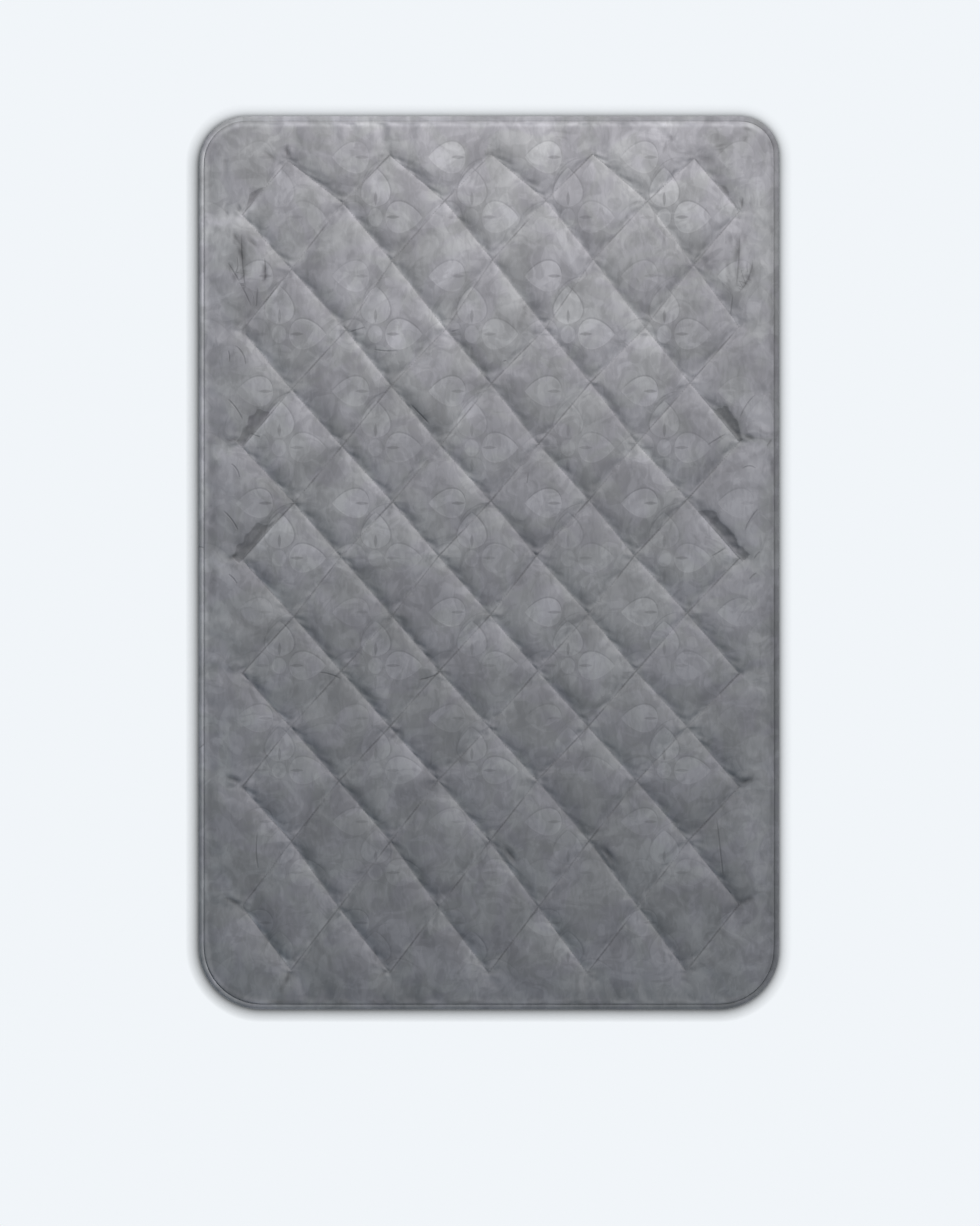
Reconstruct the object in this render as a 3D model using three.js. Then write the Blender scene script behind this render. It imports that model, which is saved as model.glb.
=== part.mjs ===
// A single-bed duvet lying flat, face up: a velvet pad quilted in diamonds inside a plain border,
// with a round piping sewn into its edge seam. Millimetres, +Z up, +Y towards the head end,
// origin on the resting face under the middle of the duvet.
import * as THREE from 'three';
import { mergeVertices } from 'three/addons/utils/BufferGeometryUtils.js';

// Overall size and the radius of each corner
const WIDTH = 1300;
const LENGTH = 2000;
const CORNER_RADIUS = { footRight: 134, headRight: 87, headLeft: 107, footLeft: 141 };

// Piping round the edge
const PIPING_DIAMETER = 16;
const PIPING_SIDES = 8;
const PIPING_GAP = 0.3;

// Heights of the filled pad
const POCKET_CROWN = 28;
const BORDER_CROWN = 23;
const CROSSING_HEIGHT = 10.5;
const SEAM_RISE = 2.5;
const UNDERSIDE_GROOVE = 3;

// How quickly a pocket swells away from its seams: lower is fuller
const POCKET_FULLNESS = 0.55;

// Width of the groove that each seam draws into the underside
const GROOVE_SHARE = 0.13;
const GROOVE_OUTSIDE = 24;

// Where the quilted field ends on the left and on the right
const FIELD_LEFT = -552;
const FIELD_RIGHT = 560;

// Rows of seam crossings from head to foot. y: height of the row's middle on the face; rise: how much
// higher its right end lies than its left; drop: how much lower both ends hang; centre and pitch: the
// middle and the spacing of its crossings. Odd rows end on the sides of the field.
const CROSSING_ROWS = [
  { y: 914, rise: 6, drop: 30, centre: 5, pitch: 227 },
  { y: 810, rise: 7, drop: 28, centre: 14, pitch: 227 },
  { y: 678, rise: 12, drop: 40, centre: 8, pitch: 225 },
  { y: 524, rise: 9, drop: 0, centre: 15, pitch: 223 },
  { y: 400, rise: 18, drop: 12, centre: 4, pitch: 223 },
  { y: 264, rise: 12, drop: 0, centre: 1, pitch: 220 },
  { y: 138, rise: 10, drop: 0, centre: 4, pitch: 220 },
  { y: 15, rise: 3, drop: 7, centre: -3, pitch: 219 },
  { y: -117, rise: 10, drop: 0, centre: 3, pitch: 220 },
  { y: -242, rise: 0, drop: 6, centre: -1, pitch: 220 },
  { y: -367, rise: 0, drop: 0, centre: 0, pitch: 222 },
  { y: -487, rise: 0, drop: 15, centre: -3, pitch: 222 },
  { y: -623, rise: 2, drop: 0, centre: 2, pitch: 222 },
  { y: -771, rise: 5, drop: -4, centre: -1, pitch: 223 },
  { y: -918, rise: -3, drop: -14, centre: -1, pitch: 221 },
];
const LAST_ROW = CROSSING_ROWS.length - 1;
const LAST_COLUMN = 10;
const MIDDLE_COLUMN = LAST_COLUMN / 2;

// How late a row bends down towards its ends: higher is later
const DROP_POWER = 4;

// Section of the border from the field's seam to its edge. across: share of the way; lift: share of
// the swell from the seam's height to the border's crown.
const BORDER_SECTION = [
  { across: 0.08, lift: 0.5 },
  { across: 0.26, lift: 0.92 },
  { across: 0.6, lift: 1 },
  { across: 0.86, lift: 0.82 },
];

// Section of the rim: a shallow dip, a low roll that meets the piping level with its top, the edge seam
// and under to the resting face. inset: distance in from the piping's outer edge; z: height.
const PIPING_RADIUS = PIPING_DIAMETER / 2;
const SEAM_INSET = PIPING_DIAMETER + PIPING_GAP;
const RIM_SECTION = [
  { inset: SEAM_INSET + 13, z: 15.2 },
  { inset: SEAM_INSET + 0.7, z: 16.8 },
  { inset: SEAM_INSET - 3.9, z: 15.5 },
  { inset: SEAM_INSET - 2.1, z: 14.2 },
  { inset: SEAM_INSET, z: PIPING_RADIUS },
  { inset: SEAM_INSET + 3, z: 2.5 },
  { inset: SEAM_INSET + 12, z: 0 },
];

// Steps along each side of a pocket, closer together beside the seams
const POCKET_STEPS = [0, 0.08, 0.25, 0.5, 0.75, 0.92, 1];
const CORNER_STRAIGHT_STEPS = 2;
const CORNER_ARC_STEPS = 8;

// Points closer than this are one point
const JOIN_DISTANCE = 1e-3;

const mix = THREE.MathUtils.lerp;

function mixPoints(a, b, share) {
  return new THREE.Vector3().lerpVectors(a, b, share);
}

// Where the seam crossing in one column and row of the lattice lies on the face
function crossing(column, row) {
  const { y, rise, drop, centre, pitch } = CROSSING_ROWS[row];
  const aside = (column - MIDDLE_COLUMN) / MIDDLE_COLUMN;
  let x = centre + ((column - MIDDLE_COLUMN) / 2) * pitch;
  if (column === 0) x = FIELD_LEFT;
  if (column === LAST_COLUMN) x = FIELD_RIGHT;
  return new THREE.Vector3(x, y + (rise * aside) / 2 - drop * aside ** DROP_POWER, CROSSING_HEIGHT);
}

// Swell of a pocket across one of its two directions, 0 on both seams and 1 in the middle
function swell(share) {
  return (4 * share * (1 - share)) ** POCKET_FULLNESS;
}

// A seam lies lowest at its crossings and is lifted by the filling between them
function seamHeight(share) {
  return CROSSING_HEIGHT + SEAM_RISE * 4 * share * (1 - share);
}

function seamPoint(from, to, share) {
  return mixPoints(from, to, share).setZ(seamHeight(share));
}

// Four crossings round each diamond pocket: left, foot, right and head
function pockets() {
  const found = [];
  for (let row = 1; row < LAST_ROW; row += 1) {
    for (let column = 2 - (row % 2); column < LAST_COLUMN; column += 2) {
      found.push({
        left: crossing(column - 1, row),
        foot: crossing(column, row + 1),
        right: crossing(column + 1, row),
        head: crossing(column, row - 1),
      });
    }
  }
  return found;
}

// The zigzag of crossings that bounds the field, anticlockwise from its foot left corner
function fieldEdge() {
  const edge = [];
  for (let column = 1; column < LAST_COLUMN; column += 1) {
    edge.push({ side: 'foot', at: crossing(column, LAST_ROW - 1 + (column % 2)) });
  }
  for (let row = LAST_ROW - 1; row > 0; row -= 1) {
    edge.push({ side: 'right', at: crossing(LAST_COLUMN - 1 + (row % 2), row) });
  }
  for (let column = LAST_COLUMN - 1; column > 0; column -= 1) {
    edge.push({ side: 'head', at: crossing(column, 1 - (column % 2)) });
  }
  for (let row = 1; row < LAST_ROW; row += 1) {
    edge.push({ side: 'left', at: crossing(1 - (row % 2), row) });
  }
  return edge;
}

const OUTWARD = {
  foot: new THREE.Vector3(0, -1, 0),
  right: new THREE.Vector3(1, 0, 0),
  head: new THREE.Vector3(0, 1, 0),
  left: new THREE.Vector3(-1, 0, 0),
};

// The point of the outer edge straight out from a point of the field, with its outward direction
function straightStation(side, from) {
  const outward = OUTWARD[side];
  const at = from.clone().setZ(0);
  if (outward.x !== 0) at.x = (outward.x * WIDTH) / 2;
  if (outward.y !== 0) at.y = (outward.y * LENGTH) / 2;
  return { at, outward };
}

// Stations of the outer edge round one corner: a straight stretch, the arc and a straight stretch
function cornerStations(start, end) {
  const first = straightStation(start.side, start.at);
  const last = straightStation(end.side, end.at);
  const upright = start.side === 'head' || start.side === 'foot' ? start.side : end.side;
  const sideways = upright === start.side ? end.side : start.side;
  const radius = CORNER_RADIUS[upright + (sideways === 'left' ? 'Left' : 'Right')];
  const towardsCorner = new THREE.Vector3().addVectors(OUTWARD[upright], OUTWARD[sideways]);
  const centre = new THREE.Vector3(WIDTH / 2 - radius, LENGTH / 2 - radius, 0).multiply(towardsCorner);
  const startAngle = Math.atan2(first.outward.y, first.outward.x);
  const onArc = (share) => {
    const angle = startAngle + (share * Math.PI) / 2;
    const outward = new THREE.Vector3(Math.cos(angle), Math.sin(angle), 0);
    return { at: centre.clone().addScaledVector(outward, radius), outward };
  };
  const stations = [];
  for (let step = 0; step < CORNER_STRAIGHT_STEPS; step += 1) {
    const share = step / CORNER_STRAIGHT_STEPS;
    stations.push({ at: mixPoints(first.at, onArc(0).at, share), outward: first.outward });
  }
  for (let step = 0; step < CORNER_ARC_STEPS; step += 1) {
    stations.push(onArc(step / CORNER_ARC_STEPS));
  }
  for (let step = 0; step <= CORNER_STRAIGHT_STEPS; step += 1) {
    const share = step / CORNER_STRAIGHT_STEPS;
    stations.push({ at: mixPoints(onArc(1).at, last.at, share), outward: last.outward });
  }
  return stations;
}

// Stations of the outer edge opposite one seam of the zigzag, each with the seam's share beside it
function stationsAlong(start, end) {
  if (start.side !== end.side) {
    const stations = cornerStations(start, end);
    return stations.map((station, k) => ({ ...station, share: k / (stations.length - 1) }));
  }
  return POCKET_STEPS.map((share) => {
    const station = straightStation(start.side, mixPoints(start.at, end.at, share));
    return { ...station, share };
  });
}

function insetPoint(station, inset, z) {
  return station.at.clone().addScaledVector(station.outward, -inset).setZ(z);
}

// The column of points from the field's seam across the border, over the rim and under to the floor
function borderColumn(start, end, station) {
  const seam = seamPoint(start.at, end.at, station.share);
  const rim = RIM_SECTION.map(({ inset, z }) => insetPoint(station, inset, z));
  const across = BORDER_SECTION.map((row) => {
    const point = mixPoints(seam, rim[0], row.across);
    return point.setZ(mix(seam.z, BORDER_CROWN, row.lift));
  });
  return [...across, ...rim];
}

// Collects triangles, counter-clockwise as seen from outside
class Skin {
  constructor() {
    this.positions = [];
  }

  triangle(a, b, c) {
    for (const corner of [a, b, c]) this.positions.push(corner.x, corner.y, corner.z);
  }

  quad(a, b, c, d) {
    this.triangle(a, b, c);
    this.triangle(a, c, d);
  }

  // Fills the strip between two open rows of points that run the same way, the second to the right of
  // the first, always stepping along the row that lags behind
  strip(leftRow, rightRow) {
    let left = 0;
    let right = 0;
    const lastLeft = leftRow.length - 1;
    const lastRight = rightRow.length - 1;
    while (left < lastLeft || right < lastRight) {
      const stepLeft = left < lastLeft && (left + 1) / lastLeft <= (right + 1) / lastRight;
      if (stepLeft || right === lastRight) {
        this.triangle(leftRow[left], rightRow[right], leftRow[left + 1]);
        left += 1;
      } else {
        this.triangle(leftRow[left], rightRow[right], rightRow[right + 1]);
        right += 1;
      }
    }
  }

  geometry() {
    const loose = new THREE.BufferGeometry();
    loose.setAttribute('position', new THREE.Float32BufferAttribute(this.positions, 3));
    const joined = mergeVertices(loose, JOIN_DISTANCE);
    joined.computeVertexNormals();
    return joined;
  }
}

// The crowned face of one pocket
function addPocketFace(skin, { left, foot, right, head }) {
  const pointAt = (u, v) => {
    const point = mixPoints(mixPoints(left, foot, u), mixPoints(head, right, u), v);
    const seam = Math.max(seamHeight(u), seamHeight(v));
    return point.setZ(mix(seam, POCKET_CROWN, swell(u) * swell(v)));
  };
  for (let a = 1; a < POCKET_STEPS.length; a += 1) {
    for (let b = 1; b < POCKET_STEPS.length; b += 1) {
      const [u0, u1] = [POCKET_STEPS[a - 1], POCKET_STEPS[a]];
      const [v0, v1] = [POCKET_STEPS[b - 1], POCKET_STEPS[b]];
      skin.quad(pointAt(u0, v0), pointAt(u1, v0), pointAt(u1, v1), pointAt(u0, v1));
    }
  }
}

// The flat back of one pocket, with half of the groove along each of its seams
function addPocketBack(skin, pocket) {
  const corners = [pocket.left, pocket.foot, pocket.right, pocket.head];
  const middle = corners.reduce((sum, corner) => sum.add(corner), new THREE.Vector3()).divideScalar(4);
  const groove = corners.map((corner) => corner.clone().setZ(UNDERSIDE_GROOVE));
  const flat = corners.map((corner) => mixPoints(corner, middle, GROOVE_SHARE).setZ(0));
  skin.quad(flat[0], flat[3], flat[2], flat[1]);
  for (let k = 0; k < corners.length; k += 1) {
    const next = (k + 1) % corners.length;
    skin.quad(groove[k], flat[k], flat[next], groove[next]);
  }
}

// The plain border: its face, its rim and its flat back round the grooves of the field
function addBorder(skin, edge) {
  const footprint = [];
  const grooveOutside = edge.map(({ side, at }) =>
    at.clone().addScaledVector(OUTWARD[side], GROOVE_OUTSIDE).setZ(0));
  edge.forEach((start, k) => {
    const next = (k + 1) % edge.length;
    const end = edge[next];
    const columns = stationsAlong(start, end).map((station) => borderColumn(start, end, station));
    const seam = POCKET_STEPS.map((share) => seamPoint(start.at, end.at, share));
    skin.strip(seam, columns.map((column) => column[0]));
    for (let row = 1; row < columns[0].length; row += 1) {
      skin.strip(columns.map((column) => column[row - 1]), columns.map((column) => column[row]));
    }
    footprint.push(...columns.slice(1).map((column) => column[column.length - 1]));
    const grooveStart = start.at.clone().setZ(UNDERSIDE_GROOVE);
    const grooveEnd = end.at.clone().setZ(UNDERSIDE_GROOVE);
    skin.quad(grooveStart, grooveEnd, grooveOutside[next], grooveOutside[k]);
  });
  const flat = [...footprint, ...grooveOutside];
  for (const [a, b, c] of THREE.ShapeUtils.triangulateShape(footprint, [grooveOutside])) {
    const turn = (flat[b].x - flat[a].x) * (flat[c].y - flat[a].y)
      - (flat[b].y - flat[a].y) * (flat[c].x - flat[a].x);
    if (turn > 0) skin.triangle(flat[a], flat[c], flat[b]);
    else skin.triangle(flat[a], flat[b], flat[c]);
  }
}

function makeQuilt() {
  const skin = new Skin();
  for (const pocket of pockets()) {
    addPocketFace(skin, pocket);
    addPocketBack(skin, pocket);
  }
  addBorder(skin, fieldEdge());
  const velvet = new THREE.MeshStandardMaterial({ color: 0x85878c, roughness: 0.92, metalness: 0 });
  const quilt = new THREE.Mesh(skin.geometry(), velvet);
  quilt.name = 'quilt';
  return quilt;
}

// Stations round the whole edge for the piping: the corners in full, the straights at their ends only
function pipingStations() {
  const edge = fieldEdge();
  const stations = [];
  edge.forEach((start, k) => {
    const end = edge[(k + 1) % edge.length];
    if (start.side === end.side) stations.push(straightStation(start.side, start.at));
    else stations.push(...cornerStations(start, end).slice(0, -1));
  });
  return stations;
}

function makePiping() {
  const skin = new Skin();
  const rings = pipingStations().map((station) => {
    const ring = [];
    for (let side = 0; side < PIPING_SIDES; side += 1) {
      const angle = (side / PIPING_SIDES) * 2 * Math.PI;
      const inset = PIPING_RADIUS - PIPING_RADIUS * Math.cos(angle);
      ring.push(insetPoint(station, inset, PIPING_RADIUS + PIPING_RADIUS * Math.sin(angle)));
    }
    return ring;
  });
  rings.forEach((ring, k) => {
    const nextRing = rings[(k + 1) % rings.length];
    for (let side = 0; side < PIPING_SIDES; side += 1) {
      const next = (side + 1) % PIPING_SIDES;
      skin.quad(ring[side], nextRing[side], nextRing[next], ring[next]);
    }
  });
  const velvet = new THREE.MeshStandardMaterial({ color: 0x888a8f, roughness: 0.9, metalness: 0 });
  const piping = new THREE.Mesh(skin.geometry(), velvet);
  piping.name = 'piping';
  return piping;
}

const duvet = new THREE.Group();
duvet.add(makeQuilt(), makePiping());

export default duvet;
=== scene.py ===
# %% [markdown]
# # A quilted velvet duvet, seen from above
# This file builds the looks of a single-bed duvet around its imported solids. The solids give the true size:
# a pad of filled pockets and a piping round its edge. The script loads them first, as a fixed frame.

import bmesh
import bpy
import numpy as np
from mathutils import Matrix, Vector


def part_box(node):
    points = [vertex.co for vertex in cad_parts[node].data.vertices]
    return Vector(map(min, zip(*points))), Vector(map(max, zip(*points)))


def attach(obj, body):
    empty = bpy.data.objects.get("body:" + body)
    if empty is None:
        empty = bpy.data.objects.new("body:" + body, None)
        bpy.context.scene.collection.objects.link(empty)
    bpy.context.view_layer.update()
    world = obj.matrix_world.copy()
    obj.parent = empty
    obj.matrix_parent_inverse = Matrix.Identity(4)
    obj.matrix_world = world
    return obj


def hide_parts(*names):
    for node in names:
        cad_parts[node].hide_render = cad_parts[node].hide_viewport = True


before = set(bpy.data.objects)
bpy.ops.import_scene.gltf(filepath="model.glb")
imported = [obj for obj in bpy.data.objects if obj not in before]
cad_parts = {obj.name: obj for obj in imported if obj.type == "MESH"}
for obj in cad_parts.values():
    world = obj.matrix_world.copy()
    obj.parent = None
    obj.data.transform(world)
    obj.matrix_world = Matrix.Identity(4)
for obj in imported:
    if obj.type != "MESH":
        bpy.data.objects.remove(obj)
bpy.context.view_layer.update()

MM = 0.001

# %% [markdown]
# ## Sizes
# Every size comes from the frame or is a real size in millimetres, so that the dressed duvet stays where the
# solids are. The piping gives the outer edge, and the pad keeps about half a millimetre away from it.

# %% Sizes of the pad
PIPING_LOW, PIPING_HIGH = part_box("piping")
WIDTH = PIPING_HIGH.x - PIPING_LOW.x
LENGTH = PIPING_HIGH.y - PIPING_LOW.y
HALF = np.array([WIDTH, LENGTH]) / 2
PIPING_RADIUS = (PIPING_HIGH.z - PIPING_LOW.z) / 2
CORNER_RADIUS = {
    ("foot", "right"): 134 * MM,
    ("right", "head"): 87 * MM,
    ("head", "left"): 107 * MM,
    ("left", "foot"): 141 * MM,
}
POCKET_CROWN = 26 * MM
BORDER_CROWN = 22 * MM
CROSSING_HEIGHT = 10.5 * MM
SEAM_RISE = 2.5 * MM
print("outer size", round(WIDTH, 3), "x", round(LENGTH, 3), "m, piping radius", round(PIPING_RADIUS, 4))

# %% [markdown]
# ## The lattice of seams
# The maker sews two families of slanting lines, which cross in fifteen rows. On the real duvet the rows
# wander: the first ones sag at their ends and some climb to the right. A short table holds each row, and a
# function turns a column and a row into a point, so that pockets, border and stitches share the crossings.

# %% Rows of crossings, in millimetres
CROSSING_ROWS = (
    dict(y=914, rise=6, drop=30, centre=5, pitch=227),
    dict(y=810, rise=7, drop=28, centre=14, pitch=227),
    dict(y=678, rise=12, drop=40, centre=8, pitch=225),
    dict(y=524, rise=9, drop=0, centre=15, pitch=223),
    dict(y=400, rise=18, drop=12, centre=4, pitch=223),
    dict(y=264, rise=12, drop=0, centre=1, pitch=220),
    dict(y=138, rise=10, drop=0, centre=4, pitch=220),
    dict(y=15, rise=3, drop=7, centre=-3, pitch=219),
    dict(y=-117, rise=10, drop=0, centre=3, pitch=220),
    dict(y=-242, rise=0, drop=6, centre=-1, pitch=220),
    dict(y=-367, rise=0, drop=0, centre=0, pitch=222),
    dict(y=-487, rise=0, drop=15, centre=-3, pitch=222),
    dict(y=-623, rise=2, drop=0, centre=2, pitch=222),
    dict(y=-771, rise=5, drop=-4, centre=-1, pitch=223),
    dict(y=-918, rise=-3, drop=-14, centre=-1, pitch=221),
)
LAST_ROW = len(CROSSING_ROWS) - 1
LAST_COLUMN = 10
MIDDLE_COLUMN = LAST_COLUMN / 2
FIELD_LEFT = -552
FIELD_RIGHT = 560
DROP_POWER = 4


def crossing(column, row):
    """The crossing in one column and row, as a point of the plan in metres."""
    line = CROSSING_ROWS[row]
    aside = (column - MIDDLE_COLUMN) / MIDDLE_COLUMN
    x = line["centre"] + (column - MIDDLE_COLUMN) / 2 * line["pitch"]
    if column == 0:
        x = FIELD_LEFT
    if column == LAST_COLUMN:
        x = FIELD_RIGHT
    y = line["y"] + line["rise"] * aside / 2 - line["drop"] * aside**DROP_POWER
    return np.array([x, y]) * MM


print(len(CROSSING_ROWS), "rows, the middle crossing at", crossing(LAST_COLUMN // 2, LAST_ROW // 2).round(4))

# %% Pockets and the zigzag that bounds them
def pocket_corners():
    """Left, foot, right and head crossing of each diamond pocket."""
    found = []
    for row in range(1, LAST_ROW):
        for column in range(2 - row % 2, LAST_COLUMN, 2):
            found.append((crossing(column - 1, row), crossing(column, row + 1),
                          crossing(column + 1, row), crossing(column, row - 1)))
    return found


def field_edge():
    """The zigzag round the field, anticlockwise, as (side, crossing) pairs."""
    edge = [("foot", crossing(c, LAST_ROW - 1 + c % 2)) for c in range(1, LAST_COLUMN)]
    edge += [("right", crossing(LAST_COLUMN - 1 + r % 2, r)) for r in range(LAST_ROW - 1, 0, -1)]
    edge += [("head", crossing(c, 1 - c % 2)) for c in range(LAST_COLUMN - 1, 0, -1)]
    edge += [("left", crossing(1 - r % 2, r)) for r in range(1, LAST_ROW)]
    return edge


POCKETS = pocket_corners()
FIELD_EDGE = field_edge()
print(len(POCKETS), "pockets inside a zigzag of", len(FIELD_EDGE), "seams")

# %% [markdown]
# ## The outer edge
# The border runs from the zigzag to the piping. Each point of the zigzag looks straight out to a station of
# the outer edge; at the four corners the stations go round an arc. Points are then set in from a station by
# a distance, so that the rim keeps its section all the way round.

# %% Stations of the outer edge
SEAM_STEPS = 14
CORNER_STRAIGHT_STEPS = 3
EVEN_SHARE = 0.12
OUTWARD = {"foot": (0, -1), "right": (1, 0), "head": (0, 1), "left": (-1, 0)}


def mix(a, b, share):
    """The value at a share of the way from one to another."""
    return a + (b - a) * share


def seam_shares():
    """Shares along a seam, closer together beside both crossings."""
    even = np.linspace(0, 1, SEAM_STEPS + 1)
    gathered = (1 - np.cos(np.pi * even)) / 2
    return mix(gathered, even, EVEN_SHARE)


SHARES = seam_shares()


def straight_station(side, plan):
    """Points of the outer edge straight out from points of the plan."""
    outward = np.array(OUTWARD[side], float)
    return np.where(outward != 0, outward * HALF, plan), np.broadcast_to(outward, plan.shape)


def corner_stations(start, end):
    """Stations round one corner: a straight stretch, the arc, a straight stretch."""
    (first_side, first), (last_side, last) = start, end
    first_at, first_out = straight_station(first_side, first)
    last_at, last_out = straight_station(last_side, last)
    radius = CORNER_RADIUS[(first_side, last_side)]
    centre = (first_out + last_out) * (HALF - radius)
    turn = np.linspace(0, np.pi / 2, SEAM_STEPS - 2 * CORNER_STRAIGHT_STEPS + 1)[:, None]
    round_out = np.cos(turn) * first_out + np.sin(turn) * last_out
    arc = centre + radius * round_out
    run = np.linspace(0, 1, CORNER_STRAIGHT_STEPS + 1)[:, None]
    at = np.concatenate([mix(first_at, arc[0], run[:-1]), arc, mix(arc[-1], last_at, run[1:])])
    same = np.ones((CORNER_STRAIGHT_STEPS, 1))
    return at, np.concatenate([same * first_out, round_out, same * last_out])


def edge_stations(start, end):
    """Outer edge points and outward directions opposite one seam of the zigzag."""
    if start[0] != end[0]:
        return corner_stations(start, end)
    return straight_station(start[0], np.linspace(start[1], end[1], SEAM_STEPS + 1))


print("stations opposite each seam:", len(SHARES))

# %% [markdown]
# ## The face of the pad
# A quilted face is cloth held down along every seam and pushed up between them by wadding. It could be
# sculpted freely, but the seams have to stay exactly on the lattice, so each pocket is a small grid between
# its four crossings, raised by a swell that is steep beside the seams and flat in the middle. The border is
# the same idea from the zigzag outwards. It slopes gently down, rises in a low roll, meets the piping level
# with its top and turns in to the edge seam.

# %% Heights of the face
rng = np.random.default_rng(11)
POCKET_FULLNESS = 0.62
CROWN_SPREAD = 0.12
START_RISE = 0.15
BORDER_ACROSS = (0.03, 0.08, 0.15, 0.24, 0.34, 0.45, 0.57, 0.7, 0.85, 1.0)
BORDER_FULL_AT = 0.6
SHOULDER_INSET = 60 * MM
RIM_SECTION = (
    dict(inset=48, z=15.0),
    dict(inset=37, z=15.2),
    dict(inset=28, z=15.4),
    dict(inset=21.5, z=16.2),
    dict(inset=17, z=16.9),
    dict(inset=13.6, z=16.3),
    dict(inset=12.3, z=15.4),
    dict(inset=13.7, z=14.3),
    dict(inset=16.4, z=8.2),
    dict(inset=19.5, z=2.2),
    dict(inset=28, z=0),
)
HELD_RIM_ROWS = 8


def swell(share):
    """Rise of the cloth from a seam at 0 to a seam at 1, as a share of its full rise."""
    return (4 * share * (1 - share)) ** POCKET_FULLNESS


def pocket_grid(corners):
    """Points of one pocket's face, and which of them are on a seam."""
    left, foot, right, head = corners
    u, v = np.meshgrid(SHARES, SHARES, indexing="ij")
    plan = mix(mix(left, foot, u[..., None]), mix(head, right, u[..., None]), v[..., None])
    along_u = 4 * u * (1 - u)
    along_v = 4 * v * (1 - v)
    seam = CROSSING_HEIGHT + SEAM_RISE * (along_u + along_v - along_u * along_v)
    rise = START_RISE * (POCKET_CROWN - seam) + CROWN_SPREAD * POCKET_CROWN * rng.uniform(-0.5, 0.5)
    height = seam + rise * swell(u) * swell(v)
    return np.dstack([plan, height]), along_u * along_v == 0


def border_grid(start, end):
    """Points of the border opposite one seam of the zigzag, from the seam to the resting face."""
    at, outward = edge_stations(start, end)
    seam_plan = mix(start[1], end[1], SHARES[:, None])
    seam_z = CROSSING_HEIGHT + SEAM_RISE * 4 * SHARES * (1 - SHARES)
    shoulder = at - outward * SHOULDER_INSET
    rows = [np.column_stack([seam_plan, seam_z])]
    for across in BORDER_ACROSS:
        lift = swell(min(0.5, across / BORDER_FULL_AT / 2))
        rows.append(np.column_stack([mix(seam_plan, shoulder, across),
                                     seam_z + START_RISE * (BORDER_CROWN - seam_z) * lift]))
    for step in RIM_SECTION:
        rows.append(np.column_stack([at - outward * step["inset"] * MM, np.full(len(at), step["z"] * MM)]))
    return np.array(rows).swapaxes(0, 1)


print("border of", len(BORDER_ACROSS), "rows, and", len(RIM_SECTION), "round the rim")

# %% Weld the grids into one sheet
WELD = 1e-5
WELD_OFFSET = 0.37


def grid_faces(shape, first):
    """Quads of a grid of points whose first point has the given number."""
    number = first + np.arange(shape[0] * shape[1]).reshape(shape)
    corners = (number[:-1, :-1], number[1:, :-1], number[1:, 1:], number[:-1, 1:])
    return np.stack([corner.ravel() for corner in corners], axis=1)


def border_held(shape):
    """Which points of a border grid are held: the zigzag seam, and the rim from the low roll outwards."""
    held = np.zeros(shape, bool)
    held[:, 0] = True
    held[:, -HELD_RIM_ROWS:] = True
    return held


def face_sheet():
    """Points, quads and sewn points of the whole face, with shared points joined."""
    points, quads, sewn = [], [], []
    count = 0
    for corners in POCKETS:
        grid, on_seam = pocket_grid(corners)
        points.append(grid.reshape(-1, 3))
        sewn.append(on_seam.ravel())
        quads.append(grid_faces(on_seam.shape, count))
        count += on_seam.size
    for k, start in enumerate(FIELD_EDGE):
        grid = border_grid(start, FIELD_EDGE[(k + 1) % len(FIELD_EDGE)])
        points.append(grid.reshape(-1, 3))
        sewn.append(border_held(grid.shape[:2]).ravel())
        quads.append(grid_faces(grid.shape[:2], count)[:, ::-1])
        count += grid.shape[0] * grid.shape[1]
    points = np.concatenate(points)
    key = np.round(points / WELD + WELD_OFFSET).astype(np.int64)
    _, first, place = np.unique(key, axis=0, return_index=True, return_inverse=True)
    return points[first], place.ravel()[np.concatenate(quads)], np.concatenate(sewn)[first]


POINTS, QUADS, SEWN = face_sheet()
print("face:", len(POINTS), "points,", len(QUADS), "quads,", int(SEWN.sum()), "sewn points")

# %% Make the sheet an object
def mesh_object(name, points, edges=(), faces=()):
    """A new smooth mesh object at the origin."""
    mesh = bpy.data.meshes.new(name)
    mesh.from_pydata(np.asarray(points).tolist(), np.asarray(edges).tolist(), np.asarray(faces).tolist())
    mesh.shade_smooth()
    thing = bpy.data.objects.new(name, mesh)
    bpy.context.scene.collection.objects.link(thing)
    return thing


def coordinates(mesh):
    """The points of a mesh as an array."""
    flat = np.empty(len(mesh.vertices) * 3)
    mesh.vertices.foreach_get("co", flat)
    return flat.reshape(-1, 3)


def move_points(mesh, points):
    """Puts the points of a mesh where the rows of an array say."""
    mesh.vertices.foreach_set("co", np.asarray(points).ravel())
    mesh.update()


def evaluated_mesh(thing):
    """The mesh an object has after its modifiers, as a plain mesh."""
    graph = bpy.context.evaluated_depsgraph_get()
    return bpy.data.meshes.new_from_object(thing.evaluated_get(graph))


def bake_modifiers(thing):
    """Puts the result of the modifiers into the object's own mesh and removes them."""
    mesh = evaluated_mesh(thing)
    thing.modifiers.clear()
    old = thing.data
    thing.data = mesh
    bpy.data.meshes.remove(old)
    mesh.shade_smooth()


quilt = mesh_object("quilt_pad", POINTS, faces=QUADS)
print("sheet:", [round(v, 3) for v in quilt.dimensions], "m")

# %% [markdown]
# ## Wadding pushes the cloth up
# A formula alone gives the same pillow fifty-nine times. Blender's cloth simulation lets the face settle as
# cloth does: the seams and the rim are pinned, a pressure stands for the wadding, and the cloth is a little
# larger than the shape it starts from, so it gathers where it has nowhere to go. The movement is capped.

# %% Cloth simulation of the face
SIM_FRAMES = 20
PRESSURE = 4.0
SLACK = 0.006
MOVE_CAP = 8 * MM
CLOTH_SETTINGS = dict(
    quality=6,
    mass=0.004,
    tension_stiffness=20,
    compression_stiffness=20,
    shear_stiffness=8,
    bending_stiffness=0.02,
    use_pressure=True,
    uniform_pressure_force=PRESSURE,
    shrink_min=-SLACK,
)


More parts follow.
